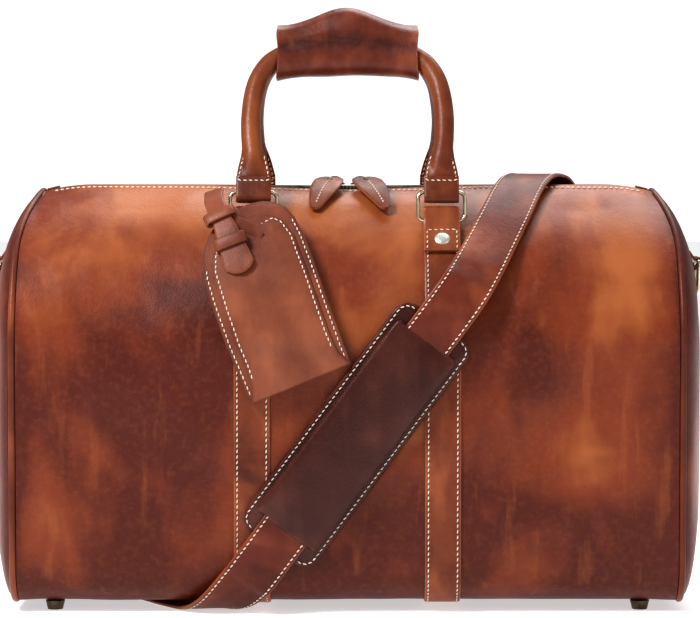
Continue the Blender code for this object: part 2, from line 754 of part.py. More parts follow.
def pad_plate(name, half_long, half_wide, corner, near, far, count=4):
    """A rounded rectangle in the pad's plane, between two distances out from its centre."""
    outline = []
    for quarter, (su, sv) in enumerate(((1, 1), (-1, 1), (-1, -1), (1, -1))):
        for i in range(count + 1):
            t = math.pi / 2 * (quarter + i / count)
            u = su * (half_long - corner) + corner * math.cos(t)
            v = sv * (half_wide - corner) + corner * math.sin(t)
            outline.append((u, v))
    rings = []
    for depth in (near, far):
        rings.append([PAD_CENTRE + PAD_DOWN * u + PAD_WIDE * v + PAD_OUT * depth for u, v in outline])
    return from_bmesh(name, loft(rings), smooth=False)


half_t = STRAP_T / 2
pad_base = pad_plate("pad_base", 0.105, 0.0335, 0.014, -half_t - 0.0054, -half_t - GAP)
finish(pad_base, LEATHER_DARK, 0.45)
sleeve = pad_plate("pad_sleeve", 0.0885, 0.0260, 0.010, -half_t, half_t + 0.0038)
tunnel = pad_plate("pad_tunnel", 0.12, STRAP_W / 2 + 0.0006, 0.0001, -half_t - 0.004, half_t + GAP, 1)
combine(sleeve, tunnel, "DIFFERENCE")
# The tunnel's cut leaves two side walls and the raised top as one piece
finish(sleeve, LEATHER_DARK, 0.45)

# ---------------------------------------------------------------- snap hooks at the strap's ends


def hook(label, origin, down, out):
    """A swivel snap hook: eye round the strap's end, swivelling body, and a sprung gate."""
    down, out = Vector(down).normalized(), Vector(out).normalized()
    wide = down.cross(out)
    origin = Vector(origin)

    def at(u, v, w=0.0):
        return origin + wide * u + down * v + out * w

    eye_points = []
    for u, v in ((0.0215, 0.0), (0.0215, 0.006), (0.010, 0.010), (-0.010, 0.010), (-0.0215, 0.006), (-0.0215, 0.0)):
        eye_points.append(at(u, v))
    eye_points.append(at(-0.0180, -0.0040))
    eye_points.append(at(0.0180, -0.0040))
    eye = tube(label + "_hook_eye", eye_points, 0.0016, closed=True, count=1)
    socket = cylinder(label + "_socket", at(0, 0.0105), down, 0.0044, 0.0060, 14)
    combine(eye, socket, "UNION")
    bore = cylinder(label + "_socket_bore", at(0, 0.0120), down, 0.0021, 0.0200, 12)
    combine(eye, bore, "DIFFERENCE")
    finish(eye, BRASS, 0.3, 1.0)
    body_points = [at(0, 0.0148), at(-0.0008, 0.0190), at(-0.0075, 0.0235), at(-0.0105, 0.0310)]
    body_points += [at(-0.0100, 0.0390), at(-0.0050, 0.0460), at(0.0020, 0.0470), at(0.0075, 0.0430)]
    body_points += [at(0.0088, 0.0390)]
    body = tube(label + "_hook", body_points, 0.0019, count=1)
    shaft = cylinder(label + "_shaft", at(0, 0.0105), down, 0.0018, 0.0110, 12)
    combine(body, shaft, "UNION")
    cap = cylinder(label + "_cap", at(0, 0.0056), down, 0.0030, 0.0016, 12)
    combine(body, cap, "UNION")
    collar = cylinder(label + "_collar", at(0, 0.0166), down, 0.0036, 0.0050, 12)
    combine(body, collar, "UNION")
    finish(body, BRASS, 0.3, 1.0)
    gate = tube(label + "_hook_gate", [at(0.0062, 0.0215), at(0.0086, 0.0355)], 0.0012, count=1)
    finish(gate, BRASS, 0.3, 1.0)


hook("rear", (0.1920, 0.1205, 0.1560), (0, 0, -1), (0, 1, 0))
hook("front", (-0.1855, 0.1345, 0.0050), (0, 1, 0), (0, 0, 1))
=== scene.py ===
import math

import bpy
import numpy as np
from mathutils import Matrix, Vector, noise


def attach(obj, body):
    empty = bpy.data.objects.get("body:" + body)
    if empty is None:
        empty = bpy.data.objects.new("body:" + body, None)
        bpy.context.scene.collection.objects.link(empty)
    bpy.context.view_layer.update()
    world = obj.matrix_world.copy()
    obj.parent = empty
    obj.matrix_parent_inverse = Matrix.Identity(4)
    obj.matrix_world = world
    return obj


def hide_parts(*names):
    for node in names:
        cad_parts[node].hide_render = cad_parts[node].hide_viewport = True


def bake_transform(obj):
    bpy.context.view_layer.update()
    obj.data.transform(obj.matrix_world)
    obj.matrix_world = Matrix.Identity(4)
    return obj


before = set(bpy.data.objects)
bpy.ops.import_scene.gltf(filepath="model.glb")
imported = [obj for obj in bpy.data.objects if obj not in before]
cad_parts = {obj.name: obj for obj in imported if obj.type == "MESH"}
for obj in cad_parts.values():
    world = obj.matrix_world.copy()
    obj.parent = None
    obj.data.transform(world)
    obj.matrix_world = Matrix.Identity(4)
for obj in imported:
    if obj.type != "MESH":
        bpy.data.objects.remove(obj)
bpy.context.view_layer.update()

# ---------------- room
# A plain pale floor, a pale sky and three soft lamps, with the camera level with the top of
# the bag and square to its front.

bpy.ops.object.select_all(action="DESELECT")
bpy.ops.mesh.primitive_plane_add(size=14, location=(0, 2.0, 0))
floor = bpy.context.object
floor.name = "floor"
floor_paint = bpy.data.materials.new("floor_paint")
floor_paint.use_nodes = True
for socket, value in (
    ("Base Color", (0.82, 0.82, 0.82, 1)),
    ("Roughness", 0.75),
    ("Emission Color", (1, 1, 1, 1)),
    ("Emission Strength", 0.46),
):
    floor_paint.node_tree.nodes["Principled BSDF"].inputs[socket].default_value = value
floor.data.materials.append(floor_paint)

SKY_LIGHT, SKY_SEEN = 0.34, 1.0
sky = bpy.data.worlds.new("sky")
sky.use_nodes = True
air = sky.node_tree.nodes["Background"]
air.inputs["Color"].default_value = (1.0, 1.0, 1.0, 1)
seen = sky.node_tree.nodes.new("ShaderNodeLightPath")
bright = sky.node_tree.nodes.new("ShaderNodeMapRange")
bright.inputs["To Min"].default_value = SKY_LIGHT
bright.inputs["To Max"].default_value = SKY_SEEN
sky.node_tree.links.new(seen.outputs["Is Camera Ray"], bright.inputs["Value"])
sky.node_tree.links.new(bright.outputs["Result"], air.inputs["Strength"])
bpy.context.scene.world = sky
bpy.context.scene.view_settings.view_transform = "Standard"
bpy.context.scene.view_settings.look = "Medium High Contrast"



def aim(thing, target):
    """Turn a lamp or the camera to look at a place."""
    way = Vector(target) - thing.location
    thing.rotation_euler = way.to_track_quat("-Z", "Y").to_euler()


for lamp_name, place, size, power in (
    ("key_lamp", (-0.95, -1.0, 1.5), 0.5, 29),
    ("fill_lamp", (1.5, -1.2, 0.8), 1.2, 3),
    ("top_lamp", (0.3, 0.7, 1.7), 1.2, 22),
):
    bpy.ops.object.light_add(type="AREA", location=place)
    lamp = bpy.context.object
    lamp.name = lamp_name
    lamp.data.size = size
    lamp.data.energy = power
    aim(lamp, (0, 0, 0.2))

bpy.ops.object.camera_add(location=(0.0019, -2.215, 0.3445))
camera = bpy.context.object
camera.data.lens = 145.2
camera.data.sensor_width = 36
aim(camera, (0.0019, -0.115, 0.2297))
bpy.context.scene.camera = camera

# ---------------- shell
# The bag's front and back: two panels of thick waxed leather that run from the zip over the
# arched top and down to the base, sagging a little between the seams. Sewn to the zip with a
# row of pale thread.

HALF_LENGTH = 0.2475
HALF_DEPTH = 0.115
BASE_Z = 0.007
SPRING_Z = 0.205
TOP_Z = 0.323
ARCH = 1.65
CORNER = 0.030
SHEET = 0.0016
ZIP_DIP, ZIP_DIP_LENGTH = 0.0042, 0.080
WIDE = Vector((1, 0, 0))
DEEP = Vector((0, 1, 0))


def part_way(value, first, last):
    """How far a value has gone from the first to the last, held between 0 and 1."""
    return min(max((value - first) / (last - first), 0.0), 1.0)


def bell(value, middle, spread):
    """1 at the middle, and falling smoothly to 0 on both sides."""
    return math.exp(-(((value - middle) / spread) ** 2))


def uneven(x, y, z):
    """Smooth noise between -1 and 1, the same at every run."""
    return noise.noise(Vector((x, y, z)))


def half_length(z):
    """The ends of the bag turn in at the top."""
    turn_in, shoulder = 0.0130, 0.268
    rise = max(0.0, z - shoulder) / (TOP_Z - shoulder)
    return HALF_LENGTH + 0.0005 - turn_in * rise**2.1


def droop(x, z):
    """How far the bag's top has sunk beside its ends."""
    deepest = 0.0058
    return deepest * part_way(abs(x), 0.200, 0.2375) ** 2 * part_way(z, 0.24, 0.323) ** 1.5


def shell_outline():
    """The front half of the bag's section, from the middle of the top to the middle of the base."""
    points = []
    for i in range(200):
        t = math.pi / 2 * (1 - i / 199)
        y = HALF_DEPTH * math.cos(t) ** (2 / ARCH)
        z = SPRING_Z + (TOP_Z - SPRING_Z) * math.sin(t) ** (2 / ARCH)
        points.append((-y, z))
    for i in range(1, 60):
        points.append((-HALF_DEPTH, SPRING_Z + (BASE_Z + CORNER - SPRING_Z) * i / 60))
    for i in range(40):
        t = math.pi / 2 * i / 39
        across, down = CORNER - CORNER * math.cos(t), CORNER - CORNER * math.sin(t)
        points.append((-HALF_DEPTH + across, BASE_Z + down))
    for i in range(1, 20):
        points.append((-(HALF_DEPTH - CORNER) * (1 - i / 19), BASE_Z))
    return np.array(points)


def distances(line):
    """How far along a line each of its points lies."""
    return np.concatenate([[0.0], np.cumsum(np.linalg.norm(np.diff(line, axis=0), axis=1))])


OUTLINE = shell_outline()
RUN = distances(OUTLINE)
TURN = np.gradient(OUTLINE, RUN, axis=0)
NORMAL = np.stack([TURN[:, 1], -TURN[:, 0]], axis=1)
NORMAL /= np.linalg.norm(NORMAL, axis=1)[:, None]


def section_at(run):
    """The place (y, z) this far round the section, and the way out from the bag there."""
    return [float(np.interp(run, RUN, column)) for column in (*OUTLINE.T, *NORMAL.T)]


def run_at(z):
    """How far round the section the front lies at this height."""
    return float(np.interp(-z, -OUTLINE[:, 1], RUN))


def run_at_depth(y):
    """How far round the section the arched top lies at this depth."""
    return float(np.interp(-y, -OUTLINE[:200, 0], RUN[:200]))


def sag(x, run, rear=False):
    """How far the leather has sunk in from its full shape, in metres."""
    shift = 7.3 if rear else 0.0
    soft = uneven(x * 6.0 + shift, run * 7.0, 0.3)
    crease = uneven(x * 15.0 + run * 9.0 + shift, run * 7.0 - x * 4.0, 1.7)
    drag = uneven(x * 26.0 + shift, run * 5.0 + x * 3.0, 4.2)
    from_zip, from_base = max(run - 0.012, 0.0), max(0.41 - run, 0.0)
    edge = min(1.0, (HALF_LENGTH - abs(x)) / 0.05, from_zip / 0.04, from_base / 0.04)
    folds = 0.0045 * abs(soft) + 0.0034 * max(0.0, crease) + 0.0016 * max(0.0, drag)
    dip = ZIP_DIP * bell(x, 0, ZIP_DIP_LENGTH) * bell(run, 0, 0.034) * (0.25 if rear else 1.0)
    return max(edge, 0.0) * folds + dip


def on_shell(x, run, height=0.0, rear=False):
    """A point at a height above the bag's skin, and the way out from the skin there."""
    y, z, ny, nz = section_at(run)
    rise = height - sag(x, run, rear)
    y, z = y + ny * rise, z + nz * rise
    z -= droop(x, z)
    if rear:
        return Vector((x, -y, z)), Vector((0, -ny, nz)).normalized()
    return Vector((x, y, z)), Vector((0, ny, nz)).normalized()


def smooth_front(run, height):
    """A point at a height above the front as it is with no sag, and the way out there."""
    y, z, ny, nz = section_at(run)
    return Vector((0, y + ny * height, z + nz * height)), Vector((0, ny, nz)).normalized()


def pick(*pieces):
    """Select these pieces alone, with the last one active."""
    bpy.ops.object.select_all(action="DESELECT")
    for piece in pieces:
        piece.select_set(True)
    bpy.context.view_layer.objects.active = pieces[-1]


def primitive(operator, **settings):
    """A new primitive, with nothing else selected."""
    bpy.ops.object.select_all(action="DESELECT")
    operator(**settings)
    return bpy.context.object


def edit(piece, operator, **settings):
    """Use one edit-mode operator on the whole of a piece."""
    pick(piece)
    bpy.ops.object.mode_set(mode="EDIT")
    bpy.ops.mesh.select_all(action="SELECT")
    operator(**settings)
    bpy.ops.object.mode_set(mode="OBJECT")


def skin(name, columns, rows, place, tone=None, merge=True):
    """A sheet of columns by rows faces, shaped by place(u, v) and closed where its edges meet."""
    grid = bpy.ops.mesh.primitive_grid_add
    piece = primitive(grid, x_subdivisions=columns, y_subdivisions=rows, size=1)
    piece.name = name
    piece.data.name = name
    shade = piece.data.attributes.new("tone", "FLOAT", "POINT")
    for vert in piece.data.vertices:
        u, v = vert.co.x + 0.5, vert.co.y + 0.5
        vert.co = place(u, v)
        if tone:
            shade.data[vert.index].value = tone(u, v)
    if merge:
        edit(piece, bpy.ops.mesh.remove_doubles, threshold=1e-6)
    edit(piece, bpy.ops.mesh.normals_make_consistent, inside=False)
    bpy.ops.object.shade_smooth()
    return piece


def face_away(piece, middle):
    """Turn an open sheet so that its faces point away from a place behind it."""
    middle = Vector(middle)
    score = sum((p.center - middle).dot(p.normal) * p.area for p in piece.data.polygons)
    if score < 0:
        edit(piece, bpy.ops.mesh.flip_normals)


def use_modifier(piece, kind, **settings):
    """Add a modifier to a piece and apply it."""
    pick(piece)
    modifier = piece.modifiers.new(kind.title(), kind)
    for key, value in settings.items():
        setattr(modifier, key, value)
    bpy.ops.object.modifier_apply(modifier=modifier.name)


def leather_sheet(piece, middle, thick):
    """Give an open sheet of leather its thickness, on the side of a place behind it."""
    face_away(piece, middle)
    use_modifier(piece, "SOLIDIFY", thickness=thick, offset=-1, use_even_offset=True)
    piece.data.polygons.foreach_set("use_smooth", [True] * len(piece.data.polygons))
    piece.data.set_sharp_from_angle(angle=math.radians(50))


def fit(piece, finish, body, node=None):
    """Give a piece its finish, the body it moves with and the node it stands for."""
    piece.data.materials.append(finish)
    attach(piece, body)
    if node:
        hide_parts(node)


class Wire:
    """A value, colour or vector in a material, so that a finish can be written as a sum."""

    def __init__(self, tree, socket=None):
        self.tree, self.socket = tree, socket

    def node(self, kind, settings=None, sockets=None, out=0):
        made = self.tree.nodes.new("ShaderNode" + kind)
        for key, value in (settings or {}).items():
            setattr(made, key, value)
        for key, value in (sockets or {}).items():
            if isinstance(value, Wire):
                self.tree.links.new(value.socket, made.inputs[key])
            else:
                made.inputs[key].default_value = value
        return Wire(self.tree, made.outputs[out])

    def maths(self, operation, first, second):
        return self.node("Math", {"operation": operation}, {0: first, 1: second})

    def __add__(self, other):
        return self.maths("ADD", self, other)

    def __sub__(self, other):
        return self.maths("SUBTRACT", self, other)

    def __rsub__(self, other):
        return self.maths("SUBTRACT", other, self)

    def __mul__(self, other):
        return self.maths("MULTIPLY", self, other)

    __radd__, __rmul__ = __add__, __mul__

    def ramp(self, low, high):
        """0 below low, 1 above high, and smooth between."""
        sockets = {"Value": self, "From Min": low, "From Max": high}
        return self.node("MapRange", {"interpolation_type": "SMOOTHSTEP"}, sockets)

    def blend(self, first, second):
        """The first colour where this is 0 and the second where it is 1."""
        first, second = (
            colour if isinstance(colour, Wire) else (*colour, 1) for colour in (first, second)
        )
        return self.node("Mix", {"data_type": "RGBA"}, {0: self, 6: first, 7: second}, out=2)

    def noise(self, scale, detail, distortion=0.0):
        """Smooth noise over these coordinates."""
        sockets = {"Vector": self, "Scale": scale, "Detail": detail, "Distortion": distortion}
        return self.node("TexNoise", sockets=sockets)

    def mapped(self, **sockets):
        """These coordinates moved, turned or stretched."""
        return self.node("Mapping", sockets={"Vector": self, **sockets})

    def bumps(self, strength, distance):
        """This height as a bumpy surface."""
        sockets = {"Strength": strength, "Distance": distance, "Height": self}
        return self.node("Bump", sockets=sockets)


def material(name):
    """A new material, its shader and its object coordinates."""
    made = bpy.data.materials.new(name)
    made.use_nodes = True
    where = Wire(made.node_tree).node("TexCoord", out=3)
    return made, made.node_tree.nodes["Principled BSDF"], where


def link(wire, shader, socket):
    """Feed a wire into one socket of a shader."""
    wire.tree.links.new(wire.socket, shader.inputs[socket])


def waxed_leather(name, dark, middle, light, cloud, rough=0.40, grain=1.0, seed=0.0):
    """Waxed leather that clouds lighter where it has been bent, with a fine grain."""
    made, shader, where = material(name)
    where = where.mapped(Location=(seed, seed * 0.7, seed * 0.3))
    big = where.noise(cloud, 2.5, 1.3)
    small = where.noise(cloud * 3.1, 3.0, 0.8)
    tilted = where.mapped(Rotation=(0.0, 0.5, 0.0), Scale=(2.2, 1.6, 0.8))
    streak = tilted.noise(cloud * 1.5, 3.0, 0.7)
    # A high tone darkens the colour and a low tone lightens it; on several pieces it carries
    # painted shade and painted light.
    tone = where.node("Attribute", {"attribute_name": "tone"}, out=2)
    mix = big * 0.50 + small * 0.16 + streak * 0.34 - tone * 0.30
    colour = mix.ramp(0.34, 0.50).blend(dark, middle)
    colour = mix.ramp(0.48, 0.66).blend(colour, light)
    pores = where.node("TexVoronoi", sockets={"Vector": where, "Scale": 700.0 / grain})
    fibre = where.noise(240.0 / grain, 5.0)
    drawn = where.mapped(Rotation=(0.2, 0.6, 0.3), Scale=(1.0, 1.0, 0.14))
    scuff = drawn.noise(95.0, 4.0)
    rubbed = fibre.ramp(0.42, 0.75) * 0.10 + scuff.ramp(0.56, 0.72) * 0.20
    link(rubbed.blend(colour, light), shader, "Base Color")
    link(mix * -0.30 + fibre * 0.16 + scuff * 0.10 + rough, shader, "Roughness")
    folds = where.noise(30.0, 2.0, 1.0)
    height = pores * 0.30 + fibre * 0.45 + folds * 1.8
    link(height.bumps(0.25, 0.0010), shader, "Normal")
    shader.inputs["Specular IOR Level"].default_value = 0.24
    return made


TAN_LEATHER = waxed_leather(
    "tan_leather", (0.082, 0.012, 0.006), (0.185, 0.035, 0.012), (0.370, 0.110, 0.034), cloud=6.0
)

# Each lighter or darker cloud on the front and back: its middle across and round the bag, its two
# sizes, and how dark it is.
CLOUDS = (
    (-0.130, 0.060, 0.070, 0.040, -0.30),
    (-0.215, 0.300, 0.030, 0.070, -0.35),
    (-0.120, 0.205, 0.050, 0.075, 0.55),
    (-0.200, 0.150, 0.040, 0.030, -0.18),
    (0.020, 0.060, 0.045, 0.035, -0.28),
    (0.050, 0.130, 0.050, 0.035, -0.18),
    (0.205, 0.110, 0.030, 0.080, -0.32),
    (0.165, 0.260, 0.035, 0.030, -0.22),
    (0.110, 0.330, 0.070, 0.070, 0.42),
    (0.215, 0.330, 0.035, 0.090, 0.40),
    (0.125, 0.190, 0.045, 0.040, 0.30),
    (-0.020, 0.380, 0.070, 0.040, 0.28),
    (-0.215, 0.200, 0.020, 0.050, 0.15),
    (-0.215, 0.400, 0.060, 0.030, 0.28),
)


def shell_shade_and_clouds(x, run):
    """Painted shade beside the seams and low on the bag, painted light near the top, and patchy
    clouds.
    """
    seam = math.exp(-(HALF_LENGTH - abs(x)) / 0.008)
    total = 0.45 * seam + 0.22 * part_way(run, 0.17, 0.39) - 0.20 * bell(run, 0.03, 0.06)
    for middle, level, wide, tall, amount in CLOUDS:
        wander = 0.5 * uneven(x * 16, run * 16, amount * 9)
        across, down = (x - middle) / wide + wander, (run - level) / tall - wander
        total += amount * math.exp(-(across**2) - down**2)
    return total


ZIP_EDGE = run_at_depth(-0.0120)
BASE_EDGE = RUN[-1] - 0.0838

for label, rear in (("front", False), ("back", True)):

    def place(u, v):
        run = ZIP_EDGE + (BASE_EDGE - ZIP_EDGE) * v
        return on_shell((2 * u - 1) * half_length(section_at(run)[1]), run, 0.0, rear)[0]

    def tone(u, v):
        return shell_shade_and_clouds((2 * u - 1) * HALF_LENGTH, ZIP_EDGE + (BASE_EDGE - ZIP_EDGE) * v)

    panel = skin(label + "_leather", 150, 110, place, tone, merge=False)
    leather_sheet(panel, (0, 0, 0.17), SHEET)
    fit(panel, TAN_LEATHER, "bag", label + "_panel")

# ---------------- thread
# Thick pale cotton thread, sewn as a row of short sunk stitches wherever two layers of leather
# meet. One stitch is modelled and copied along each seam.


def cotton():
    """Pale waxed cotton, a little darker between its twists."""
    made, shader, where = material("cotton_thread")
    twist = where.noise(900.0, 2.0).ramp(0.3, 0.7)
    link(twist.blend((0.62, 0.52, 0.40), (0.86, 0.78, 0.66)), shader, "Base Color")
    shader.inputs["Roughness"].default_value = 0.75
    return made


THREAD = cotton()
ball = bpy.ops.mesh.primitive_uv_sphere_add
one_stitch = primitive(ball, segments=6, ring_count=4, radius=1, rotation=(0, math.pi / 2, 0))
bpy.ops.object.transform_apply(location=False, rotation=True, scale=False)


def shape_of(piece):
    """The vertices and faces of a piece that is to be repeated, which is then taken away."""
    verts = np.array([list(v.co) for v in piece.data.vertices])
    faces = [list(p.vertices) for p in piece.data.polygons]
    bpy.data.objects.remove(piece)
    return verts, faces


def repeated(name, copies, sides, finish):
    """One piece of many copies of a small shape, given as the vertices of each copy."""
    faces = [[len(copies[0]) * i + k for k in side] for i in range(len(copies)) for side in sides]
    mesh = bpy.data.meshes.new(name)
    mesh.from_pydata(np.concatenate(copies).tolist(), [], faces)
    mesh.materials.append(finish)
    piece = bpy.data.objects.new(name, mesh)
    bpy.context.scene.collection.objects.link(piece)
    return piece


STITCH_VERTS, STITCH_FACES = shape_of(one_stitch)


def looked_up(at, run, table):
    """The rows of a table at these distances along a line."""
    return np.stack([np.interp(at, run, table[:, k]) for k in range(3)], axis=1)


def sewn(name, seams, body, length=0.0031, pitch=0.0042, width=0.00052):
    """Stitches along each seam, given as (points, normals)."""
    copies = []
    for points, normals in seams:
        line, ways = (np.array([list(p) for p in row]) for row in (points, normals))
        run = distances(line)
        count = max(2, int(run[-1] / pitch))
        at = (np.arange(count) + 0.5) * run[-1] / count
        where, out = looked_up(at, run, line), looked_up(at, run, ways)
        along = looked_up(at + 0.001, run, line) - looked_up(at - 0.001, run, line)
        along /= np.linalg.norm(along, axis=1)[:, None]
        side = np.cross(along, out)
        side /= np.linalg.norm(side, axis=1)[:, None]
        out = np.cross(side, along)
        for p, a, s, o in zip(where, along, side, out):
            slant = (a + s * 0.16) * length / 2
            ends, edges, tops = (STITCH_VERTS[:, k : k + 1] for k in range(3))
            copies.append(p + ends * slant + edges * s * width + tops * o * width * 0.8)
    piece = repeated(name, copies, STITCH_FACES, THREAD)
    edit(piece, bpy.ops.mesh.normals_make_consistent, inside=False)
    bpy.ops.object.shade_smooth()
    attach(piece, body)


zip_seams = []
for rear in (False, True):
    places = np.linspace(-0.228, 0.228, 120)
    line = [on_shell(x, ZIP_EDGE + 0.0070, 0.0003, rear) for x in places]
    zip_seams.append(list(zip(*line)))
sewn("zip_seam_thread", zip_seams, "bag", width=0.0008)

# ---------------- end panels and piping
# The two arched ends puff out with what the bag holds and crease down their length. Each is
# sewn to the body round a leather cord, the piping.

DARK_LEATHER = waxed_leather(
    "dark_leather", (0.055, 0.010, 0.005), (0.120, 0.024, 0.010), (0.240, 0.062, 0.024),
    cloud=9.0, seed=3.1,
)


def loop_at(u):
    """A point (y, z) on the bag's whole section, going once round from the top as u goes 0 to 1."""
    half = u * 2 if u <= 0.5 else 2 - u * 2
    y, z = section_at(half * RUN[-1])[:2]
    return (y if u <= 0.5 else -y), z


def round_section(name, stations, radius, closed, count=12):
    """A round cord through stations of (point, side, out): a ring, or a length with shut ends."""
    total = len(stations)
    columns = total if closed else total + 1

    def place(u, v):
        i = round(u * columns)
        turn, size = 2 * math.pi * v, radius
        if closed:
            i %= total
        else:
            size = radius if 1 <= i <= total else 0.0
            i = min(max(i - 1, 0), total - 1)
        point, side, out = stations[i]
        return point + side * (math.cos(turn) * size) + out * (math.sin(turn) * size)

    return skin(name, columns, count, place)


SIDES = ((-1, "left"), (1, "right"))
END_MIDDLE = 0.165
END_BULGE = 0.0165
CORD = 0.0027
for side, label in SIDES:

    def place(u, v):
        y, rim = loop_at(u)
        share = 1 - v
        y, z = y * share * 0.985, END_MIDDLE + (rim - END_MIDDLE) * share * 0.985
        push = (1 - share**4) ** 0.75
        fold = bell(y, -0.052, 0.012) * bell(z, 0.14, 0.11)
        ripple = uneven(y * 24 + side * 3.0, z * 13, 2.0)
        x = HALF_LENGTH - (HALF_LENGTH - half_length(rim)) * share**3 + 0.0060
        x += END_BULGE * push + min(1.0, v * 6) * (0.0012 * fold - 0.0016 * abs(ripple))
        return Vector((side * x, y, z - droop(HALF_LENGTH, z) * share**4))

    # Painted shade: the end panels a little darker all over, and darker still at the rim beside the
    # piping.
    def tone(u, v):
        return 0.55 * math.exp(-v * 12) + 0.15

    end = skin(label + "_end_leather", 160, 48, place, tone)
    leather_sheet(end, (side * 0.20, 0, END_MIDDLE), SHEET)
    fit(end, TAN_LEATHER, "bag", label + "_end_panel")

    stations = []
    for i in range(240):
        y, z = loop_at(i / 240)
        y1, z1 = loop_at((i + 1) % 240 / 240)
        out = Vector((0, z1 - z, -(y1 - y))).normalized()
        if out.dot(Vector((0, y, z - END_MIDDLE))) < 0:
            out = -out
        sunk = Vector((0, 0, droop(HALF_LENGTH, z)))
        point = Vector((side * (half_length(z) + 0.0030), y, z)) - out * 0.0012 - sunk
        stations.append((point, WIDE, out))
    piping = round_section(label + "_cord", stations, CORD, True)
    fit(piping, DARK_LEATHER, "bag", label + "_piping")

# ---------------- base
# A flat panel of dark leather under a stiff board, on five turned metal feet, and the cotton
# lining that fills the inside.


def place(u, v):
    x, y = (2 * u - 1) * HALF_LENGTH, (2 * v - 1) * 0.0836
    return Vector((x, y, BASE_Z + 0.0002 + 0.0006 * abs(uneven(x * 15, y * 15, 4.0))))


base = skin("base_leather", 90, 34, place, lambda u, v: 0.4, merge=False)
leather_sheet(base, (0, 0, 0.1), 0.0018)
fit(base, DARK_LEATHER, "bag", "base_panel")


def worn_metal(name, dull, bright, rough):
    """Plated metal, a little tarnished in patches and finely brushed."""
    made, shader, where = material(name)
    patch, brush = where.noise(90.0, 3.0), where.noise(1500.0, 2.0)
    link(patch.ramp(0.35, 0.65).blend(dull, bright), shader, "Base Color")
    link(patch * -0.20 + brush * 0.12 + (rough + 0.08), shader, "Roughness")
    link(brush.bumps(0.06, 0.0002), shader, "Normal")
    shader.inputs["Metallic"].default_value = 1.0
    return made


def woven(name, first, second, threads):
    """Plain woven cloth: over and under threads, each a little uneven."""
    made, shader, where = material(name)
    sockets = {"Vector": where, "Scale": threads, "Distortion": 0.4}
    weave = where.node("TexWave", {"bands_direction": "X"}, sockets)
    cross = where.node("TexWave", {"bands_direction": "DIAGONAL"}, sockets)
    mix = weave * 0.5 + cross * 0.5
    link(mix.blend(first, second), shader, "Base Color")
    shader.inputs["Roughness"].default_value = 0.85
    link(mix.bumps(0.3, 0.0003), shader, "Normal")
    return made


def dress(node, finish):
    """Put a finish on a piece of the frame that keeps its own shape."""
    mesh = bpy.data.objects[node].data
    mesh.materials.clear()
    mesh.materials.append(finish)


BRASS = worn_metal("pale_brass", (0.50, 0.43, 0.28), (0.74, 0.67, 0.48), 0.16)
NICKEL = worn_metal("pale_nickel", (0.74, 0.70, 0.62), (0.90, 0.88, 0.80), 0.30)
AGED_BRASS = worn_metal("aged_brass", (0.05, 0.04, 0.03), (0.17, 0.14, 0.10), 0.30)
# The feet are painted almost black, as painted shade under the bag's base.
SHADED_FOOT_BRASS = worn_metal("foot_brass_painted_shade", (0.03, 0.02, 0.015), (0.12, 0.09, 0.06), 0.35)
for place_name in ("front_left", "front_right", "rear_left", "rear_right", "centre"):
    dress("foot_" + place_name, SHADED_FOOT_BRASS)
dress("lining", woven("lining_cotton", (0.10, 0.06, 0.035), (0.20, 0.13, 0.08), 260.0))
dress("base_board", woven("pressed_board", (0.20, 0.15, 0.10), (0.28, 0.22, 0.15), 90.0))

# ---------------- bands
# Two straps of leather go right round the bag under the base, from the front handle rings to
# the rear ones, and are stitched down along both edges.

BAND_LEATHER = waxed_leather(
    "band_leather", (0.080, 0.015, 0.007), (0.165, 0.036, 0.014), (0.300, 0.085, 0.030),
    cloud=12.0, seed=1.3,
)
RING_X = 0.0715
BAND_HALF = 0.0135
BAND_SEAM = 0.0109
STRIP = 0.0009


def ribbon(name, stations, half_width, half_thick, around=16, tone=None):
    """A flat strap with round edges and shut ends, through stations of (point, wide, out)."""
    total = len(stations)
    widths = half_width if callable(half_width) else (lambda t: half_width)

    def place(u, v):
        i = round(u * (total + 3)) - 2
        k = min(max(i, 0), total - 1)
        point, wide, out = stations[k]
        inset = {-2: 0.0, -1: 0.86, total: 0.86, total + 1: 0.0}.get(i, 1.0)
        turn = 2 * math.pi * (v + 0.5 / around)
        c, s = math.cos(turn), math.sin(turn)
        a = math.copysign(abs(c) ** 0.28, c) * (widths(k / (total - 1)) - (1 - inset) * half_thick)
        b = math.copysign(abs(s) ** 0.55, s) * half_thick * (1.0 if inset else 0.0)
        if not inset:
            a = 0.0
        return point + wide * a + out * b

    def shade(u, v):
        edge = abs(math.cos(2 * math.pi * (v + 0.5 / around))) ** 8
        return (tone(u, v) if tone else 0.0) - 0.95 * edge

    piece = skin(name, total + 3, around, place, shade)
    piece.data.set_sharp_from_angle(angle=math.radians(60))
    return piece


def edge_seam(stations, offset, lift):
    """A seam line along a strap, this far from its middle and just above its face."""
    points = [p + w * offset + o * lift for p, w, o in stations]
    return points, [o for p, w, o in stations]


band_seams = []
for side, label in SIDES:
    stations = []
    middle = side * RING_X
    first, last = run_at_depth(-0.0790), RUN[-1]
    for rear in (False, True):
        part = []
        for i in range(150):
            run = first + (last - first) * i / 149
            point, out = on_shell(middle, run, 0.0013, rear)
            pinch = 0.0005 * math.sin(point.z * 900) * bell(point.z, 0.115, 0.014) * (side < 0)
            if point.z < 0.02:
                point.z = max(point.z, 0.0056)
            part.append((point + out * pinch, WIDE, out))
        if rear:
            part = [(p, w, o) for p, w, o in part[-2::-1]]
        stations += part
    band = ribbon(label + "_strap_band", stations, BAND_HALF, STRIP)
    fit(band, BAND_LEATHER, "bag", label + "_band")
    band_seams += [edge_seam(stations, offset, 0.0010) for offset in (-BAND_SEAM, BAND_SEAM)]
sewn("band_thread", band_seams, "bag")

# ---------------- ring anchors
# At the top of each band a short tab of leather is folded round the lower bar of a handle
# ring, sewn across and held by a domed rivet.

RING_LOW = Vector((0, -0.0690, 0.2945))
RING_HIGH = Vector((0, -0.0645, 0.3160))


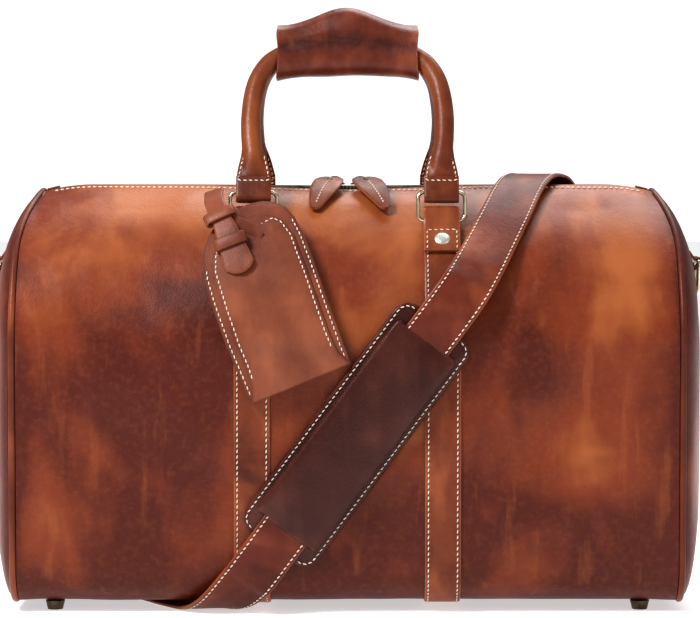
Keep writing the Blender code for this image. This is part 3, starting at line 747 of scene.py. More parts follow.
def bent(path, wide, closed=False):
    """Stations for a strip or wire that is bent along a path, with its width this way."""
    count = len(path)
    stations = []
    for i, point in enumerate(path):
        ahead = path[(i + 1) % count if closed else min(i + 1, count - 1)]
        behind = path[i - 1 if closed else max(i - 1, 0)]
        stations.append((point, wide, (ahead - behind).normalized().cross(wide).normalized()))
    return stations


def dome(name, head, out, radius, crown, columns, rows, thick):
    """The round head of a rivet: crown(v) is its height, and radius(v) how wide it is there."""
    up = out.cross(WIDE)

    def place(u, v):
        t, size = 2 * math.pi * u, radius(v)
        return head + WIDE * (math.cos(t) * size) + up * (math.sin(t) * size) + out * crown(v)

    piece = skin(name, columns, rows, place)
    leather_sheet(piece, head - out * 0.01, thick)
    return piece


def rivet_radius(v):
    """How far out the rivet's head has spread, as v goes from its middle to its edge."""
    return 0.0060 * min(1.0, v * 1.25)


def rivet_crown(v):
    """How high the rivet's head stands there."""
    return 0.0015 * max(0.0, 1 - (rivet_radius(v) / 0.0062) ** 4) if v < 0.999 else -0.0004


ENDS = ((False, "front"), (True, "rear"))
FOLD = 0.0026
TAB_SEAM, TAB_SEAM_TOP, TAB_FACE = 0.0112, -0.0738, 0.0062
RIVET_Y = -0.0796
anchor_seams = []
for rear, end in ENDS:
    flip = -1 if rear else 1
    for side, label in SIDES:
        middle = side * RING_X

        def on_tab(y, height, dx=0.0):
            """A place over the band at this depth, and the way out there."""
            return on_shell(middle + dx, run_at_depth(y), height, rear)

        lower = [on_tab(-0.0862 + 0.0014 * i, 0.0032)[0] for i in range(11)]
        upper = [on_tab(-0.0868 + 0.0014 * i, 0.0052)[0] for i in range(11)]
        bar = Vector((middle, RING_LOW.y * flip, RING_LOW.z))
        climb = Vector((0, 0.0045 * flip, 0.0215)).normalized()
        proud = Vector((0, -climb.z * flip, climb.y * flip))
        turn = [bar + climb * (0.0020 * i) - proud * FOLD for i in range(4)]
        for i in range(9):
            t = math.pi * i / 8
            turn.append(bar + climb * (0.0078 + FOLD * math.sin(t)) - proud * (FOLD * math.cos(t)))
        turn += [bar + climb * (0.0060 - 0.0020 * i) + proud * FOLD for i in range(4)]
        stations = bent(lower + turn + upper[::-1], WIDE)
        anchor = ribbon(f"{end}_{label}_tab", stations, BAND_HALF + 0.0003, STRIP)
        fit(anchor, BAND_LEATHER, "bag", f"{end}_{label}_anchor")
        places = np.linspace(-TAB_SEAM, TAB_SEAM, 9)
        line = [on_tab(TAB_SEAM_TOP, TAB_FACE, dx) for dx in places]
        anchor_seams.append(list(zip(*line)))
        for dx in (-TAB_SEAM, TAB_SEAM):
            line = [on_tab(y, TAB_FACE, dx) for y in np.linspace(TAB_SEAM_TOP, -0.0862, 9)]
            anchor_seams.append(list(zip(*line)))
        head, out = on_tab(RIVET_Y, 0.0058)
        name = f"{end}_{label}_rivet"
        rivet = dome(name + "_cap", head, out, rivet_radius, rivet_crown, 28, 12, 0.0004)
        fit(rivet, NICKEL, "bag", name)
sewn("anchor_thread", anchor_seams, "bag")

# ---------------- handle rings
# Four rounded rectangles of thick wire, bent and brazed, that join the handles to the bands.

RING_HALF = 0.0178
RING_BEND = 0.0048
RING_WIRE = 0.0015
for rear, end in ENDS:
    flip = -1 if rear else 1
    low = Vector((0, RING_LOW.y * flip, RING_LOW.z))
    high = Vector((0, RING_HIGH.y * flip, RING_HIGH.z))
    up = (high - low).normalized()
    tall = (high - low).length
    for side, label in SIDES:
        centre = (low + high) / 2 + WIDE * (side * RING_X)
        stations = []
        for quarter, (su, sv) in enumerate(((1, 1), (-1, 1), (-1, -1), (1, -1))):
            corner = WIDE * (su * (RING_HALF - RING_BEND)) + up * (sv * (tall / 2 - RING_BEND))
            for i in range(9):
                t = math.pi / 2 * (quarter + i / 8)
                away = WIDE * math.cos(t) + up * math.sin(t)
                stations.append((centre + corner + away * RING_BEND, away, WIDE.cross(up)))
        ring = round_section(f"{end}_{label}_wire_ring", stations, RING_WIRE, True)
        fit(ring, BRASS, end + "_rings", f"{end}_{label}_ring")

# ---------------- handles
# Each handle is a rope core in a rolled tube of tan leather, seamed underneath. Its ends are
# flattened into tabs that go through the rings and are sewn back on themselves.

HANDLE_LEATHER = waxed_leather(
    "handle_leather", (0.095, 0.018, 0.007), (0.170, 0.040, 0.014), (0.255, 0.075, 0.026),
    cloud=14.0, seed=5.2, rough=0.38,
)


def smooth_line(points, count):
    """A smooth curve through the points, evenly spaced."""
    points = [Vector(p) for p in points]
    padded = [points[0] * 2 - points[1]] + points + [points[-1] * 2 - points[-2]]
    dense = []
    for a, b, c, d in zip(padded, padded[1:], padded[2:], padded[3:]):
        for i in range(16):
            t = i / 16
            bow, twist = a * 2 - b * 5 + c * 4 - d, b * 3 - a - c * 3 + d
            dense.append(0.5 * ((b * 2) + (c - a) * t + bow * t**2 + twist * t**3))
    dense.append(points[-1])
    line = np.array([list(p) for p in dense])
    run = distances(line)
    return [Vector(p) for p in looked_up(np.linspace(0, run[-1], count), run, line)]


def join(whole, part):
    """Make a part one mesh with the piece that it belongs to."""
    pick(part, whole)
    bpy.ops.object.join()


ROLL = 0.0076
TAB_LOW, TAB_GAP = 0.0055, 0.0030
handle_seams = {"front": [], "rear": []}
for end, rear, top_y, top_z in (
    ("front", False, -0.0079, 0.4295),
    ("rear", True, 0.0079, 0.4300),
):
    flip = -1 if rear else 1
    foot_y, foot_z = RING_HIGH.y * flip, RING_HIGH.z
    lean = Vector((0, top_y - foot_y, top_z - foot_z)).normalized()
    face = Vector((0, -lean.z, lean.y)) * flip
    rise = top_z - 0.4295

    def leg(x, z):
        """A place on the handle's middle line, in the plane that it leans in."""
        return Vector((x, foot_y + (top_y - foot_y) * (z - foot_z) / (top_z - foot_z), z))

    half = [(0.0715, 0.3215), (0.0716, 0.3300), (0.0722, 0.3420), (0.0738, 0.3560)]
    half += [(0.0744, 0.3720), (0.0728, 0.3880 + rise * 0.4), (0.0690, 0.4020 + rise * 0.7)]
    half += [(0.0620, 0.4130 + rise * 0.9), (0.0530, 0.4200 + rise), (0.0400, 0.4255 + rise)]
    half += [(0.0240, 0.4285 + rise), (0.0, 0.4295 + rise)]
    points = [leg(x, z) for x, z in half]
    points += [Vector((-p.x, p.y, p.z)) for p in points[-2::-1]]
    line = smooth_line(points, 240)
    total = len(line)
    reach = [0.0]
    for first, second in zip(line, line[1:]):
        reach.append(reach[-1] + (second - first).length)

    def foot_section(foot, across):
        """Half the handle's width this far above its foot, and half its depth this far across."""
        flat = 1 - part_way(foot, 0.0030, 0.0350)
        flat = flat * flat * (3 - 2 * flat)
        wide = ROLL + 0.0056 * flat**0.8
        core = ROLL + (0.0018 - ROLL) * (1 - part_way(foot, 0.004, 0.026)) ** 1.3
        flange = 0.0021 * flat**0.5
        near = min(abs(across) * wide / 0.0078, 1.0)
        bulge = max(core - flange, 0.0) * math.sqrt(max(0.0, 1 - near**2))
        rim = (1 - abs(across) ** 6) ** 0.5
        if flat > 0:
            return wide, flange * rim + bulge
        return wide, core * math.sqrt(max(0.0, 1 - across**2))

    def place(u, v):
        k = round(u * (total + 1)) - 1
        i = min(max(k, 0), total - 1)
        along = (line[min(i + 1, total - 1)] - line[max(i - 1, 0)]).normalized()
        wide_way = along.cross(face).normalized()
        foot = min(reach[i], reach[-1] - reach[i])
        across = math.cos(2 * math.pi * v)
        wide, deep = foot_section(foot, across)
        if k in (-1, total):
            wide = deep = 0.0
        front = 1 if v <= 0.5 else -1
        bump = 1 + 0.035 * uneven(reach[i] * 45 + top_y * 900, across, front)
        deep *= front * (1 - 0.05 * bell(v, 0.75, 0.012))
        return line[i] + wide_way * (across * wide * bump) + face * (deep * bump)

    def tone(u, v):
        return 0.25 * bell(v, 0.75, 0.03) + 0.45 * math.exp(-min(u, 1 - u) * 26)

    roll = skin(end + "_roll", total + 1, 36, place, tone)
    roll.data.materials.append(HANDLE_LEATHER)
    for side in (-1, 1):
        bar = Vector((side * RING_X, foot_y, foot_z))
        path = [bar + lean * (0.0125 - i * 0.0012) - face * TAB_GAP for i in range(10)]
        for i in range(15):
            t = math.pi * i / 14
            under = 0.0046 + math.sin(t) * 0.0032
            path.append(bar - face * (math.cos(t) * TAB_GAP) - lean * under)
        path += [bar + lean * (0.0012 * (i + 1)) + face * TAB_GAP for i in range(10)]
        tab_name = f"{end}_tab_{side + 1}"
        tab = ribbon(tab_name, bent(path, WIDE), 0.0134, 0.0011, tone=lambda u, v: 0.35)
        tab.data.materials.append(HANDLE_LEATHER)
        for way in (1, -1):
            seam = []
            heights = np.linspace(0.0300, 0.0085, 10)
            steps = [(-1, height) for height in heights]
            steps += [(0, dx) for dx in np.linspace(-0.0095, 0.0095, 7)]
            steps += [(1, height) for height in heights[::-1]]
            for sign, at in steps:
                height = at if sign else 0.0080
                wide = foot_section(height - TAB_LOW, 0.86)[0]
                across = sign * (wide - 0.0019) if sign else at
                deep = foot_section(height - TAB_LOW, across / wide)[1]
                ground = 0.0043 if height < 0.0125 else deep + 0.0004
                seam.append(bar + WIDE * across + lean * height + face * (way * ground))
            handle_seams[end].append((seam, [face * way] * len(seam)))
        join(roll, tab)
    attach(roll, end + "_handle")
    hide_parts(end + "_handle")
    sewn(end + "_handle_thread", handle_seams[end], end + "_handle")

# ---------------- handle wrap
# A rectangle of soft leather wraps both rolls at the grip and snaps shut underneath. Its rear
# half stays on the rear handle. Its front half, the flap, is fixed where it lies, on no body.

WRAP_LEATHER = waxed_leather(
    "wrap_leather", (0.050, 0.009, 0.005), (0.110, 0.022, 0.011), (0.215, 0.056, 0.028),
    cloud=16.0, seed=8.4,
)
rear_line = [(-0.0035, 0.4576), (0.0040, 0.4577), (0.0112, 0.4554), (0.0168, 0.4480)]
rear_line += [(0.0196, 0.4380), (0.0216, 0.4290), (0.0230, 0.4200)]
front_line = [(-0.0050, 0.4597), (-0.0115, 0.4556), (-0.0168, 0.4452), (-0.0202, 0.4340)]
front_line += [(-0.0232, 0.4220), (-0.0222, 0.4112), (-0.0145, 0.4052), (-0.0060, 0.4046)]
WRAP_MIDDLE = 0.434
for name, outline, node, body in (
    ("wrap_rear", rear_line, "handle_wrap", "rear_handle"),
    ("wrap_front", front_line, "wrap_flap", "wrap_flap"),
):
    line = smooth_line([(0, y, z) for y, z in outline], 41)

    def place(u, v):
        s = 2 * u - 1
        x = s * (0.0545 + 0.0006 * math.sin(v * 9))
        p = line[min(max(round(v * 40), 0), 40)]
        up = part_way(p.z, 0.4080, 0.4570)
        hump = math.exp(-((s / 0.62) ** 2) * 1.25)
        drop = 0.0150 * (1 - hump) * up**2.2 + 0.0022 * s * s * (1 - up)
        away = Vector((0, p.y, p.z - WRAP_MIDDLE)).normalized()
        fold = 0.0016 * bell(p.z + x * 0.12, 0.433, 0.0045) * (1 - s * s)
        lump = 0.0016 * uneven(x * 30, p.y * 40, p.z * 50)
        flare = 0.0011 * abs(s) ** 8
        inward = -0.0012 * (1 - s * s) * (1 - up)
        return Vector((x, p.y, p.z - drop)) + away * (lump - fold + flare + inward - 0.0004)

    # Painted shade in a band across the middle, where the leather creases; the cut edges are paler.
    def tone(u, v):
        return 0.45 * bell(v, 0.45, 0.10) - 0.5 * math.exp(-min(u, 1 - u) * 120)

    wrap = skin(name, 80, 40, place, tone, merge=False)
    leather_sheet(wrap, (0, 0, WRAP_MIDDLE), 0.0017)
    wrap.data.materials.append(WRAP_LEATHER)
    if body == "wrap_flap":
        top, bend = (0, -0.0045, 0.4600), (0, -0.0150, 0.4584)
        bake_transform(wrap)
    else:
        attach(wrap, body)
    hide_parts(node)

# ---------------- zip
# A chain of brass teeth clamped to two woven tapes, closed along the top, with a leather stop at
# each end and two sliders that meet in the middle.

TAPE = woven("zip_tape_cloth", (0.020, 0.014, 0.010), (0.050, 0.036, 0.026), 420.0)
TOOTH_BRASS = worn_metal("tooth_brass", (0.16, 0.13, 0.09), (0.50, 0.43, 0.30), 0.28)
TAPE_HALF, TAPE_THICK, TAPE_DIP = 0.226, 0.0007, 0.0036
TEETH_Z = 0.3190
TOOTH_PITCH = 0.0028
TOOTH_SIZE = (0.0014, 0.0029, 0.0028)
SLIDER_SIZE = (0.0158, 0.0112, 0.0013)
STOP_Z = 0.3222
SMALL_TAB_HALF = 0.0104
SLIDER_X = 0.0100
for end, flip in (("front", -1), ("rear", 1)):

    def place(u, v):
        x = (2 * u - 1) * TAPE_HALF
        y = float(np.interp(v * 3, range(4), (0.0026, 0.0060, 0.0120, 0.0190)))
        z = float(np.interp(v * 3, range(4), (0.3185, 0.3183, 0.3174, 0.3152)))
        z -= TAPE_DIP * bell(x, 0, ZIP_DIP_LENGTH) * (min(1.0, y / 0.008) if flip < 0 else 0.0)
        return Vector((x, flip * y, z - droop(x, z)))

    tape = skin(end + "_tape", 60, 12, place, merge=False)
    leather_sheet(tape, (0, 0, 0.2), TAPE_THICK)
    tape.data.materials.append(TAPE)
    tooth = primitive(bpy.ops.mesh.primitive_cube_add, size=1, location=(0, 0, 0))
    tooth.scale = TOOTH_SIZE
    bpy.ops.object.transform_apply(location=False, rotation=False, scale=True)
    edit(tooth, bpy.ops.mesh.bevel, offset=0.0003, segments=1)
    shape, sides = shape_of(tooth)
    copies = []
    for i in range(160):
        x = -0.2245 + TOOTH_PITCH * (i if flip < 0 else i + 0.5)
        copies.append(shape + np.array([x, flip * 0.00195, TEETH_Z - droop(x, TEETH_Z)]))
    teeth = repeated(end + "_teeth", copies, sides, TOOTH_BRASS)
    for piece in (tape, teeth):
        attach(piece, "bag")
    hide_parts(end + "_zip_tape")

for side, label in SIDES:
    stations = []
    for i in range(9):
        x = side * (TAPE_HALF + 0.0002 + 0.0010 * i)
        point = Vector((x, 0, STOP_Z - droop(x, STOP_Z)))
        stations.append((point, DEEP, Vector((0, 0, side))))
    stop = ribbon(label + "_stop", stations, SMALL_TAB_HALF, STRIP)
    fit(stop, DARK_LEATHER, "bag", label + "_zip_end")
    place = (side * SLIDER_X, 0, 0.3218)
    slider = primitive(bpy.ops.mesh.primitive_cube_add, size=1, location=place)
    slider.name = label + "_slider_body"
    slider.scale = SLIDER_SIZE
    bpy.ops.object.transform_apply(location=True, rotation=False, scale=True)
    for vert in slider.data.vertices:
        if vert.co.x * side > SLIDER_X:
            vert.co.y *= 0.62
    use_modifier(slider, "BEVEL", width=0.0006, segments=3, limit_method="ANGLE")
    slider.data.materials.append(AGED_BRASS)
    stations = []
    for i in range(17):
        t = math.pi * i / 16
        x, z = side * SLIDER_X - math.cos(t) * 0.0050, STOP_Z + math.sin(t) ** 0.5 * 0.0048
        stations.append((Vector((x, 0, z)), Vector((-math.cos(t), 0, math.sin(t))), DEEP))
    bail = round_section(label + "_bail", stations, 0.0009, False, 10)
    bail.data.materials.append(AGED_BRASS)
    join(slider, bail)
    bpy.ops.object.shade_smooth_by_angle(angle=math.radians(40))
    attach(slider, label + "_slider")
    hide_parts(label + "_slider")

# ---------------- zip pulls
# Leaf-shaped tabs of leather on wire links: two layers sewn together round the link, with a
# small rivet at the top and a line of stitches down the middle.

LEAF_ALONG = (0.0, 0.05, 0.18, 0.40, 0.65, 0.86, 0.96, 1.0)
LEAF_HALVES = (0.0072, 0.0100, 0.0118, 0.0112, 0.0090, 0.0062, 0.0044, 0.0022)


def leaf_half(t):
    """Half the width of a pull this far down it."""
    return float(np.interp(t, LEAF_ALONG, LEAF_HALVES))


def stud_radius(v):
    """How far out the head of a pull's rivet has spread."""
    return 0.0022 * v


def stud_crown(v):
    """How high it stands there."""
    return 0.0009 * math.sqrt(max(0.0, 1 - v**2))


for side, label in SIDES:
    x = side * SLIDER_X
    dress(label + "_pull_link", AGED_BRASS)
    skew = 0.0175 if side > 0 else 0.0135

    def leaf_centre(v, lift=0.0):
        """A place down the middle of the pull, and the way out there."""
        y = -0.0082 - 0.0470 * v
        point, out = smooth_front(run_at_depth(y), 0.0040 + lift)
        return Vector((x + side * (0.002 + skew * v), point.y, point.z)), out

    stations = []
    for i in range(45):
        point, out = leaf_centre(i / 44)
        slant = WIDE + out.cross(WIDE) * (side * 0.30)
        stations.append((point, slant.normalized(), out))
    leaf = ribbon(label + "_leaf", stations, leaf_half, 0.0013, around=20)
    fit(leaf, BAND_LEATHER, label + "_pull", label + "_pull_leaf")
    line = [leaf_centre(v, 0.0014) for v in np.linspace(0.24, 0.90, 16)]
    seam, body = list(zip(*line)), label + "_pull"
    sewn(label + "_leaf_thread", [seam], body, length=0.0028, pitch=0.0038, width=0.00062)
    head, out = leaf_centre(0.13, 0.0012)
    stud = dome(label + "_leaf_rivet", head, out, stud_radius, stud_crown, 18, 6, 0.0003)
    fit(stud, AGED_BRASS, body)

# ---------------- D-rings
# A D-shaped wire ring hangs at each end in a folded leather tab, for the shoulder strap.

D_WIRE = 0.0018
for side, label in SIDES:
    cx, cz = side * 0.2740, 0.2610
    path = [Vector((side * 0.2690, 0, 0.2500)), Vector((side * 0.2712, 0, 0.2545))]
    for i in range(15):
        t = math.radians(-60 + 200 * i / 14)
        path.append(Vector((cx + side * math.cos(t) * 0.0030, 0, cz + math.sin(t) * 0.0030)))
    path += [Vector((side * 0.2695, 0, 0.2655)), Vector((side * 0.2672, 0, 0.2690))]
    tab = ribbon(label + "_end_tab", bent(path, DEEP), SMALL_TAB_HALF, STRIP)
    fit(tab, BAND_LEATHER, "bag", label + "_dring_tab")
    points = [Vector((cx, -0.0150 + 0.0300 * i / 12, cz)) for i in range(13)]
    for i in range(1, 24):
        t = math.pi * i / 24
        shoulder = 0.0060 * min(1, i / 3, (24 - i) / 3)
        points.append(Vector((cx, 0.0150 * math.cos(t), cz - shoulder - 0.0190 * math.sin(t))))
    ring = round_section(label + "_d_wire", bent(points, WIDE, closed=True), D_WIRE, True)
    fit(ring, BRASS, label + "_dring", label + "_dring")

# ---------------- luggage tag
# A leaf of leather folded at the bottom, with a raised window panel that holds a card, sewn in
# two rows. A narrow strap with keepers hangs it on the front left ring.

TAG_LEATHER = waxed_leather(
    "tag_leather", (0.110, 0.024, 0.013), (0.185, 0.050, 0.024), (0.280, 0.088, 0.042),
    cloud=10.0, seed=6.6, rough=0.44,
)
TAG_LOW = (-0.0345, 0.1742)
TAG_SLANT = 0.414
TAG_TILT, TAG_LEVEL = 0.3827, 0.9239


def tag_rise(z):
    """How far the tag's back stands off the bag: over the band, and then over the ring."""
    return 0.0045 + 0.0065 * part_way(z, 0.190, 0.260) + 0.0062 * part_way(z, 0.262, 0.290)


def tag_point(z, across, height):
    """A point on the tag: z down its middle, a distance across, and a height above its back."""
    at = z + across * TAG_TILT
    point, out = smooth_front(run_at(at), tag_rise(at) + height)
    point.x = TAG_LOW[0] - (z - TAG_LOW[1]) * TAG_SLANT + across * TAG_LEVEL
    return point, out


def leaf_sheet(name, shape, height, thick, node, crown):
    """A rounded leaf of leather on the tag: stations of (z, half width), top first."""
    levels, halves = zip(*shape)

    def half_at(z):
        return float(np.interp(-z, [-level for level in levels], halves))

    def place(u, v):
        z = levels[0] + (levels[-1] - levels[0]) * (round(v * 60) / 60)
        s = 2 * u - 1
        puff = crown * (1 - s**4) * math.sin(math.pi * min(max(v, 0.0), 1.0)) ** 0.4
        return tag_point(z, s * half_at(z), height + thick + puff)[0]

    def tone(u, v):
        return 0.5 * math.exp(-min(u, 1 - u) * 30)

    sheet = skin(name, 34, 60, place, tone, merge=False)
    leather_sheet(sheet, (0, 0.2, 0.2), thick)
    fit(sheet, TAG_LEATHER, "tag", node)
    return half_at


tag_shape = [(0.2890, 0.008), (0.2880, 0.015), (0.2860, 0.0210), (0.2830, 0.0265)]
tag_shape += [(0.2775, 0.0325), (0.2700, 0.0372), (0.2600, 0.0396), (0.2450, 0.0405)]
tag_shape += [(0.1800, 0.0405), (TAG_LOW[1], 0.0395)]
tag_half = leaf_sheet("tag_leaf", tag_shape, 0.0, 0.0032, "tag_body", crown=0.0004)
window = [(0.2800, 0.006), (0.2790, 0.013), (0.2755, 0.0215), (0.2700, 0.0282)]
window += [(0.2610, 0.0322), (0.2380, 0.0332), (0.2000, 0.0332), (0.1840, 0.0345)]
window += [(0.1770, 0.0380), (0.1752, 0.0385)]
window_half = leaf_sheet("tag_window", window, 0.0042, 0.0015, "tag_panel", crown=0.0012)
dress("tag_card", woven("plain_card", (0.72, 0.68, 0.60), (0.80, 0.77, 0.70), 600.0))

tag_seams = []
for sign, top in ((-1, 0.2650), (1, 0.2700)):
    levels = np.linspace(top, 0.1800, 40)
    line = [tag_point(z, sign * (tag_half(z) - 0.0026), 0.0037) for z in levels]
    tag_seams.append(list(zip(*line)))
levels = np.linspace(0.1900, 0.2740, 40)
arc = [(-1, z) for z in levels] + [(1, z) for z in levels[::-1]]
line = [tag_point(z, sign * (window_half(z) - 0.0022), 0.0062) for sign, z in arc]
tag_seams.append(list(zip(*line)))
sewn("tag_thread", tag_seams, "tag")


def over_tag(x, z, height):
    """A point on the tag's little strap, and the way out there."""
    point, out = smooth_front(run_at(z), tag_rise(z) + height)
    point.x = x
    return point, out


def strap_half(t):
    """Half the width of the little strap, which ends in a rounded tip."""
    return (0.0076 + 0.0042 * max(0.0, 1 - t / 0.5) ** 0.7) * min(1.0, (t / 0.10) ** 0.5 + 0.15)


def squared(angle, power):
    """The two parts of a direction, pressed towards the sides of a square."""
    return [math.copysign(abs(part) ** power, part) for part in (math.cos(angle), math.sin(angle))]


strap_line = [(-0.0780, 0.2480, 0.0094), (-0.0850, 0.2620, 0.0104), (-0.0915, 0.2740, 0.0112)]
strap_line += [(-0.0975, 0.2840, 0.0100), (-0.1010, 0.2920, 0.0068), (-0.1015, 0.3010, 0.0024)]
line = smooth_line([over_tag(*knot)[0] for knot in strap_line], 60)
stations = []
for i, p in enumerate(line):
    along = (line[min(i + 1, 59)] - line[max(i - 1, 0)]).normalized()
    wide = Vector((0.94, 0, 0.34))
    wide = (wide - along * wide.dot(along)).normalized()
    out = along.cross(wide)
    stations.append((p, wide, out if out.y < 0 else -out))
tag_strap = ribbon("tag_loop", stations, strap_half, 0.0012)
tag_strap.data.materials.append(TAG_LEATHER)
for at in (18, 34):
    p, wide, out = stations[at]
    along = out.cross(wide).normalized()
    keeper_path = []
    for i in range(25):
        c, s = squared(2 * math.pi * i / 24, 0.6)
        keeper_path.append(p + wide * (c * 0.0118) + out * (s * 0.0034))
    keeper_stations = []
    for i, q in enumerate(keeper_path[:-1]):
        run_on = (keeper_path[(i + 1) % 24] - keeper_path[i - 1]).normalized()
        keeper_stations.append((q, along, run_on.cross(along).normalized()))

    def place(u, v):
        q, w, o = keeper_stations[round(u * 24) % 24]
        c = squared(2 * math.pi * v, 0.4)[0]
        return q + w * (c * 0.0046) + o * (math.sin(2 * math.pi * v) * 0.0010)

    keeper = skin("keeper", 24, 12, place)
    keeper.data.materials.append(TAG_LEATHER)
    join(tag_strap, keeper)
tongue_line = [(-0.0905, 0.2800, 0.0078), (-0.0800, 0.2765, 0.0082)]
tongue_line += [(-0.0700, 0.2735, 0.0080), (-0.0640, 0.2712, 0.0072)]
stations = []
for knot in tongue_line:
    point, out = over_tag(*knot)
    stations.append((point, Vector((0.30, 0, 0.95)), out))
tongue = ribbon("tongue", stations, lambda t: 0.0062 - 0.0034 * t**2, 0.0010)
tongue.data.materials.append(TAG_LEATHER)
join(tag_strap, tongue)
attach(tag_strap, "tag")
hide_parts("tag_strap")

# ---------------- shoulder strap
# A long strap of two layers sewn together, unhooked and laid over the bag: down the back, over
# the zip, across the front through its pad, and under the base. It has a snap hook at each end.

STRAP_LEATHER = waxed_leather(
    "strap_leather", (0.050, 0.008, 0.005), (0.115, 0.020, 0.010), (0.230, 0.056, 0.024),
    cloud=11.0, seed=2.4, rough=0.44,
)
PAD_CENTRE = Vector((0.0065, -0.1250, 0.1360))
PAD_DOWN = Vector((-0.5965, 0.0, -0.8026))
PAD_WIDE = Vector((0.8026, 0.0, -0.5965))
PAD_OUT = Vector((0, -1, 0))
UNDER_BAG = 0.0022
STRAP_HALF = 0.01925
STRAP_STEPS = 420
# The strap's middle line, with the way that its face looks at each place.
route = [
    ((0.1920, 0.1205, 0.1650), (0, 1, 0)),
    ((0.1905, 0.1205, 0.2000), (0, 1, 0.05)),
    ((0.1870, 0.1130, 0.2400), (0, 0.93, 0.36)),
    ((0.1800, 0.0905, 0.2730), (0, 0.72, 0.69)),
    ((0.1710, 0.0620, 0.3010), (0, 0.60, 0.80)),
    ((0.1605, 0.0300, 0.3212), (0, 0.38, 0.92)),
    ((0.1500, 0.0080, 0.3275), (0, 0.10, 0.99)),
    ((0.1412, -0.0120, 0.3270), (0, -0.16, 0.98)),
    ((0.1325, -0.0340, 0.3195), (0, -0.42, 0.90)),
    ((0.1210, -0.0640, 0.3005), (0, -0.62, 0.78)),
    ((0.1085, -0.0890, 0.2790), (0, -0.74, 0.66)),
    ((0.0965, -0.1105, 0.2590), (0, -0.88, 0.47)),
]
for along in (-0.1260, -0.063, 0.0, 0.063, 0.1270):
    route.append((PAD_CENTRE + PAD_DOWN * along, (0, -1, 0)))
route += [
    ((-0.0776, -0.1199, 0.0240), (0, -0.94, -0.34)),
    ((-0.0875, -0.1135, 0.0141), (0, -0.72, -0.69)),
    ((-0.0963, -0.1046, 0.0074), (0, -0.42, -0.91)),
    ((-0.1046, -0.0948, 0.0036), (0, -0.12, -0.99)),
]
for x, y in (
    (-0.1120, -0.0850), (-0.1300, -0.0600), (-0.1480, -0.0300), (-0.1620, 0.0000),
    (-0.1720, 0.0300), (-0.1790, 0.0600), (-0.1830, 0.0950), (-0.1850, 0.1250),
):
    route.append(((x, y, UNDER_BAG), (0, 0, -1)))
line = smooth_line([p for p, n in route], STRAP_STEPS)
knots = np.array([list(p) for p, n in route])
rough = []
for i, p in enumerate(line):
    along = (line[min(i + 1, STRAP_STEPS - 1)] - line[max(i - 1, 0)]).normalized()
    gaps = np.linalg.norm(knots - np.array(p), axis=1)
    near, second = np.argsort(gaps)[:2]
    faces = [Vector(route[k][1]) / (gaps[k] + 1e-5) for k in (near, second)]
    wide = along.cross((faces[0] + faces[1]).normalized()).normalized()
    rough.append((p, wide, wide.cross(along).normalized()))
stations = []
for i, (p, wide, out) in enumerate(rough):
    near = rough[max(0, i - 6) : i + 7]
    wide, out = (sum((row[k] for row in near), Vector()).normalized() for k in (1, 2))
    stations.append((p, wide, out))


# Lighter towards the end behind the bag, with painted shade on the face that lies against the bag.
def strap_tone_and_shade(u, v):
    face = math.sin(2 * math.pi * v)
    return -0.15 * max(0.0, 0.5 - u) + 0.10 * (face < 0)


strap = ribbon("strap", stations, STRAP_HALF, 0.0016, around=24, tone=strap_tone_and_shade)
fit(strap, STRAP_LEATHER, "bag", "shoulder_strap")
strap_seams = [edge_seam(stations[4:-4], offset, 0.0017) for offset in (-0.0166, 0.0166)]
sewn("strap_thread", strap_seams, "bag", length=0.0030, pitch=0.0041)

# ---------------- shoulder pad
# A padded flange of leather behind the strap and a smooth raised sleeve in front of it, sewn
# together along both long sides, so that the pad slides along the strap.

PAD_LEATHER = waxed_leather(
    "pad_leather", (0.022, 0.0045, 0.0035), (0.046, 0.0095, 0.0065), (0.100, 0.027, 0.018),
    cloud=8.0, seed=4.7, rough=0.33, grain=0.8,
)


TUNNEL_ROOF = 0.0021
BESIDE_STRAP = 0.0206


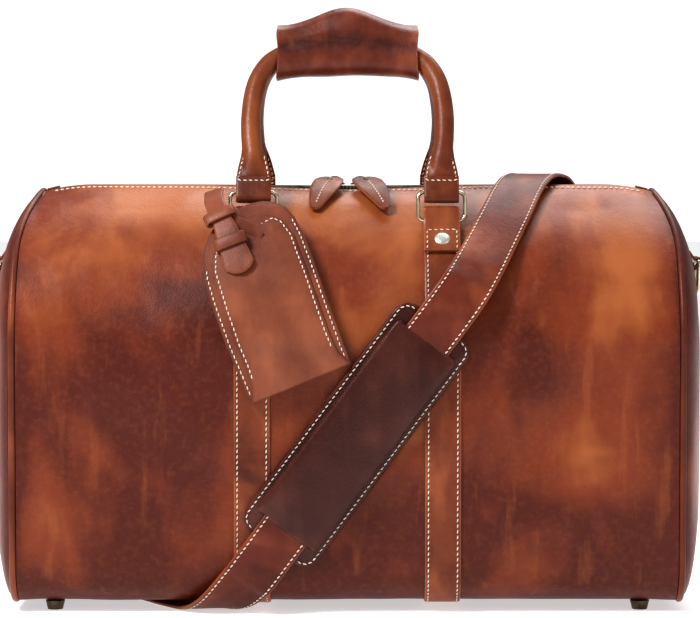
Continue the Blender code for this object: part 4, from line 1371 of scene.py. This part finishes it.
def pad_sheet(name, half_long, half_wide, corner, near, far, crown, node, tunnel=None):
    """A stuffed rounded rectangle in the pad's plane, closed all round."""

    def place(u, v):
        t = 2 * math.pi * u
        c, s = math.cos(t), math.sin(t)
        grow = max(abs(c), abs(s))
        c, s = c / grow, s / grow
        ring = min(v, 1 - v) * 2
        share = min(1.0, ring * 1.06)
        long, wide = c * half_long * share, s * half_wide * share
        dx, dy = abs(long) - (half_long - corner), abs(wide) - (half_wide - corner)
        if dx > 0 and dy > 0:
            reach = math.hypot(dx, dy)
            pull = max(dx, dy) / reach if reach > 0 else 1.0
            long = math.copysign(half_long - corner + dx * pull, long)
            wide = math.copysign(half_wide - corner + dy * pull, wide)
        edge = 1 - max(abs(long) / half_long, abs(wide) / half_wide) ** 10
        front = v >= 0.5
        depth = (near + far) / 2
        if front:
            puff = far + crown * (1 - (wide / half_wide) ** 2) * (1 - (long / half_long) ** 8)
            depth += (puff - depth) * edge**0.5 if ring < 1 else 0.0
        else:
            depth += (near - depth) * edge**0.5 if ring < 1 else 0.0
            if tunnel and abs(wide) < tunnel:
                depth = max(depth, TUNNEL_ROOF)
        return PAD_CENTRE + PAD_DOWN * long + PAD_WIDE * wide + PAD_OUT * depth

    piece = skin(name, 120, 72, place, lambda u, v: -0.9 * bell(v, 0.5, 0.018))
    fit(piece, PAD_LEATHER, "pad", node)


def pad_rim(half_long, half_wide, corner, depth, way):
    """A line inside the edge of one long side of the pad, from the strap round to the strap."""
    places = [(-half_long, BESIDE_STRAP)]
    for first, end in ((math.pi, -1), (math.pi / 2, 1)):
        for i in range(9):
            t = first - math.pi / 2 * i / 8
            along = end * (half_long - corner) + corner * math.cos(t)
            places.append((along, half_wide - corner + corner * math.sin(t)))
    places.append((half_long, BESIDE_STRAP))
    middle = PAD_CENTRE + PAD_OUT * depth
    points = [middle + PAD_DOWN * a + PAD_WIDE * (b * way) for a, b in places]
    return points, [PAD_OUT] * len(points)


pad_sheet("pad_flange", 0.105, 0.0335, 0.014, -0.0070, -0.0025, 0.0, "pad_base")
pad_sheet("pad_cover", 0.0890, 0.0276, 0.005, -0.0016, 0.0044, 0.0010, "pad_sleeve", tunnel=0.0198)
sewn("pad_thread", [pad_rim(0.1018, 0.0303, 0.0085, -0.0022, way) for way in (-1, 1)], "pad")

# ---------------- snap hooks
# Cast swivel hooks with sprung gates, one at each end of the strap.

for label in ("front", "rear"):
    for node in ("_hook_eye", "_hook", "_hook_gate"):
        dress(label + node, BRASS)
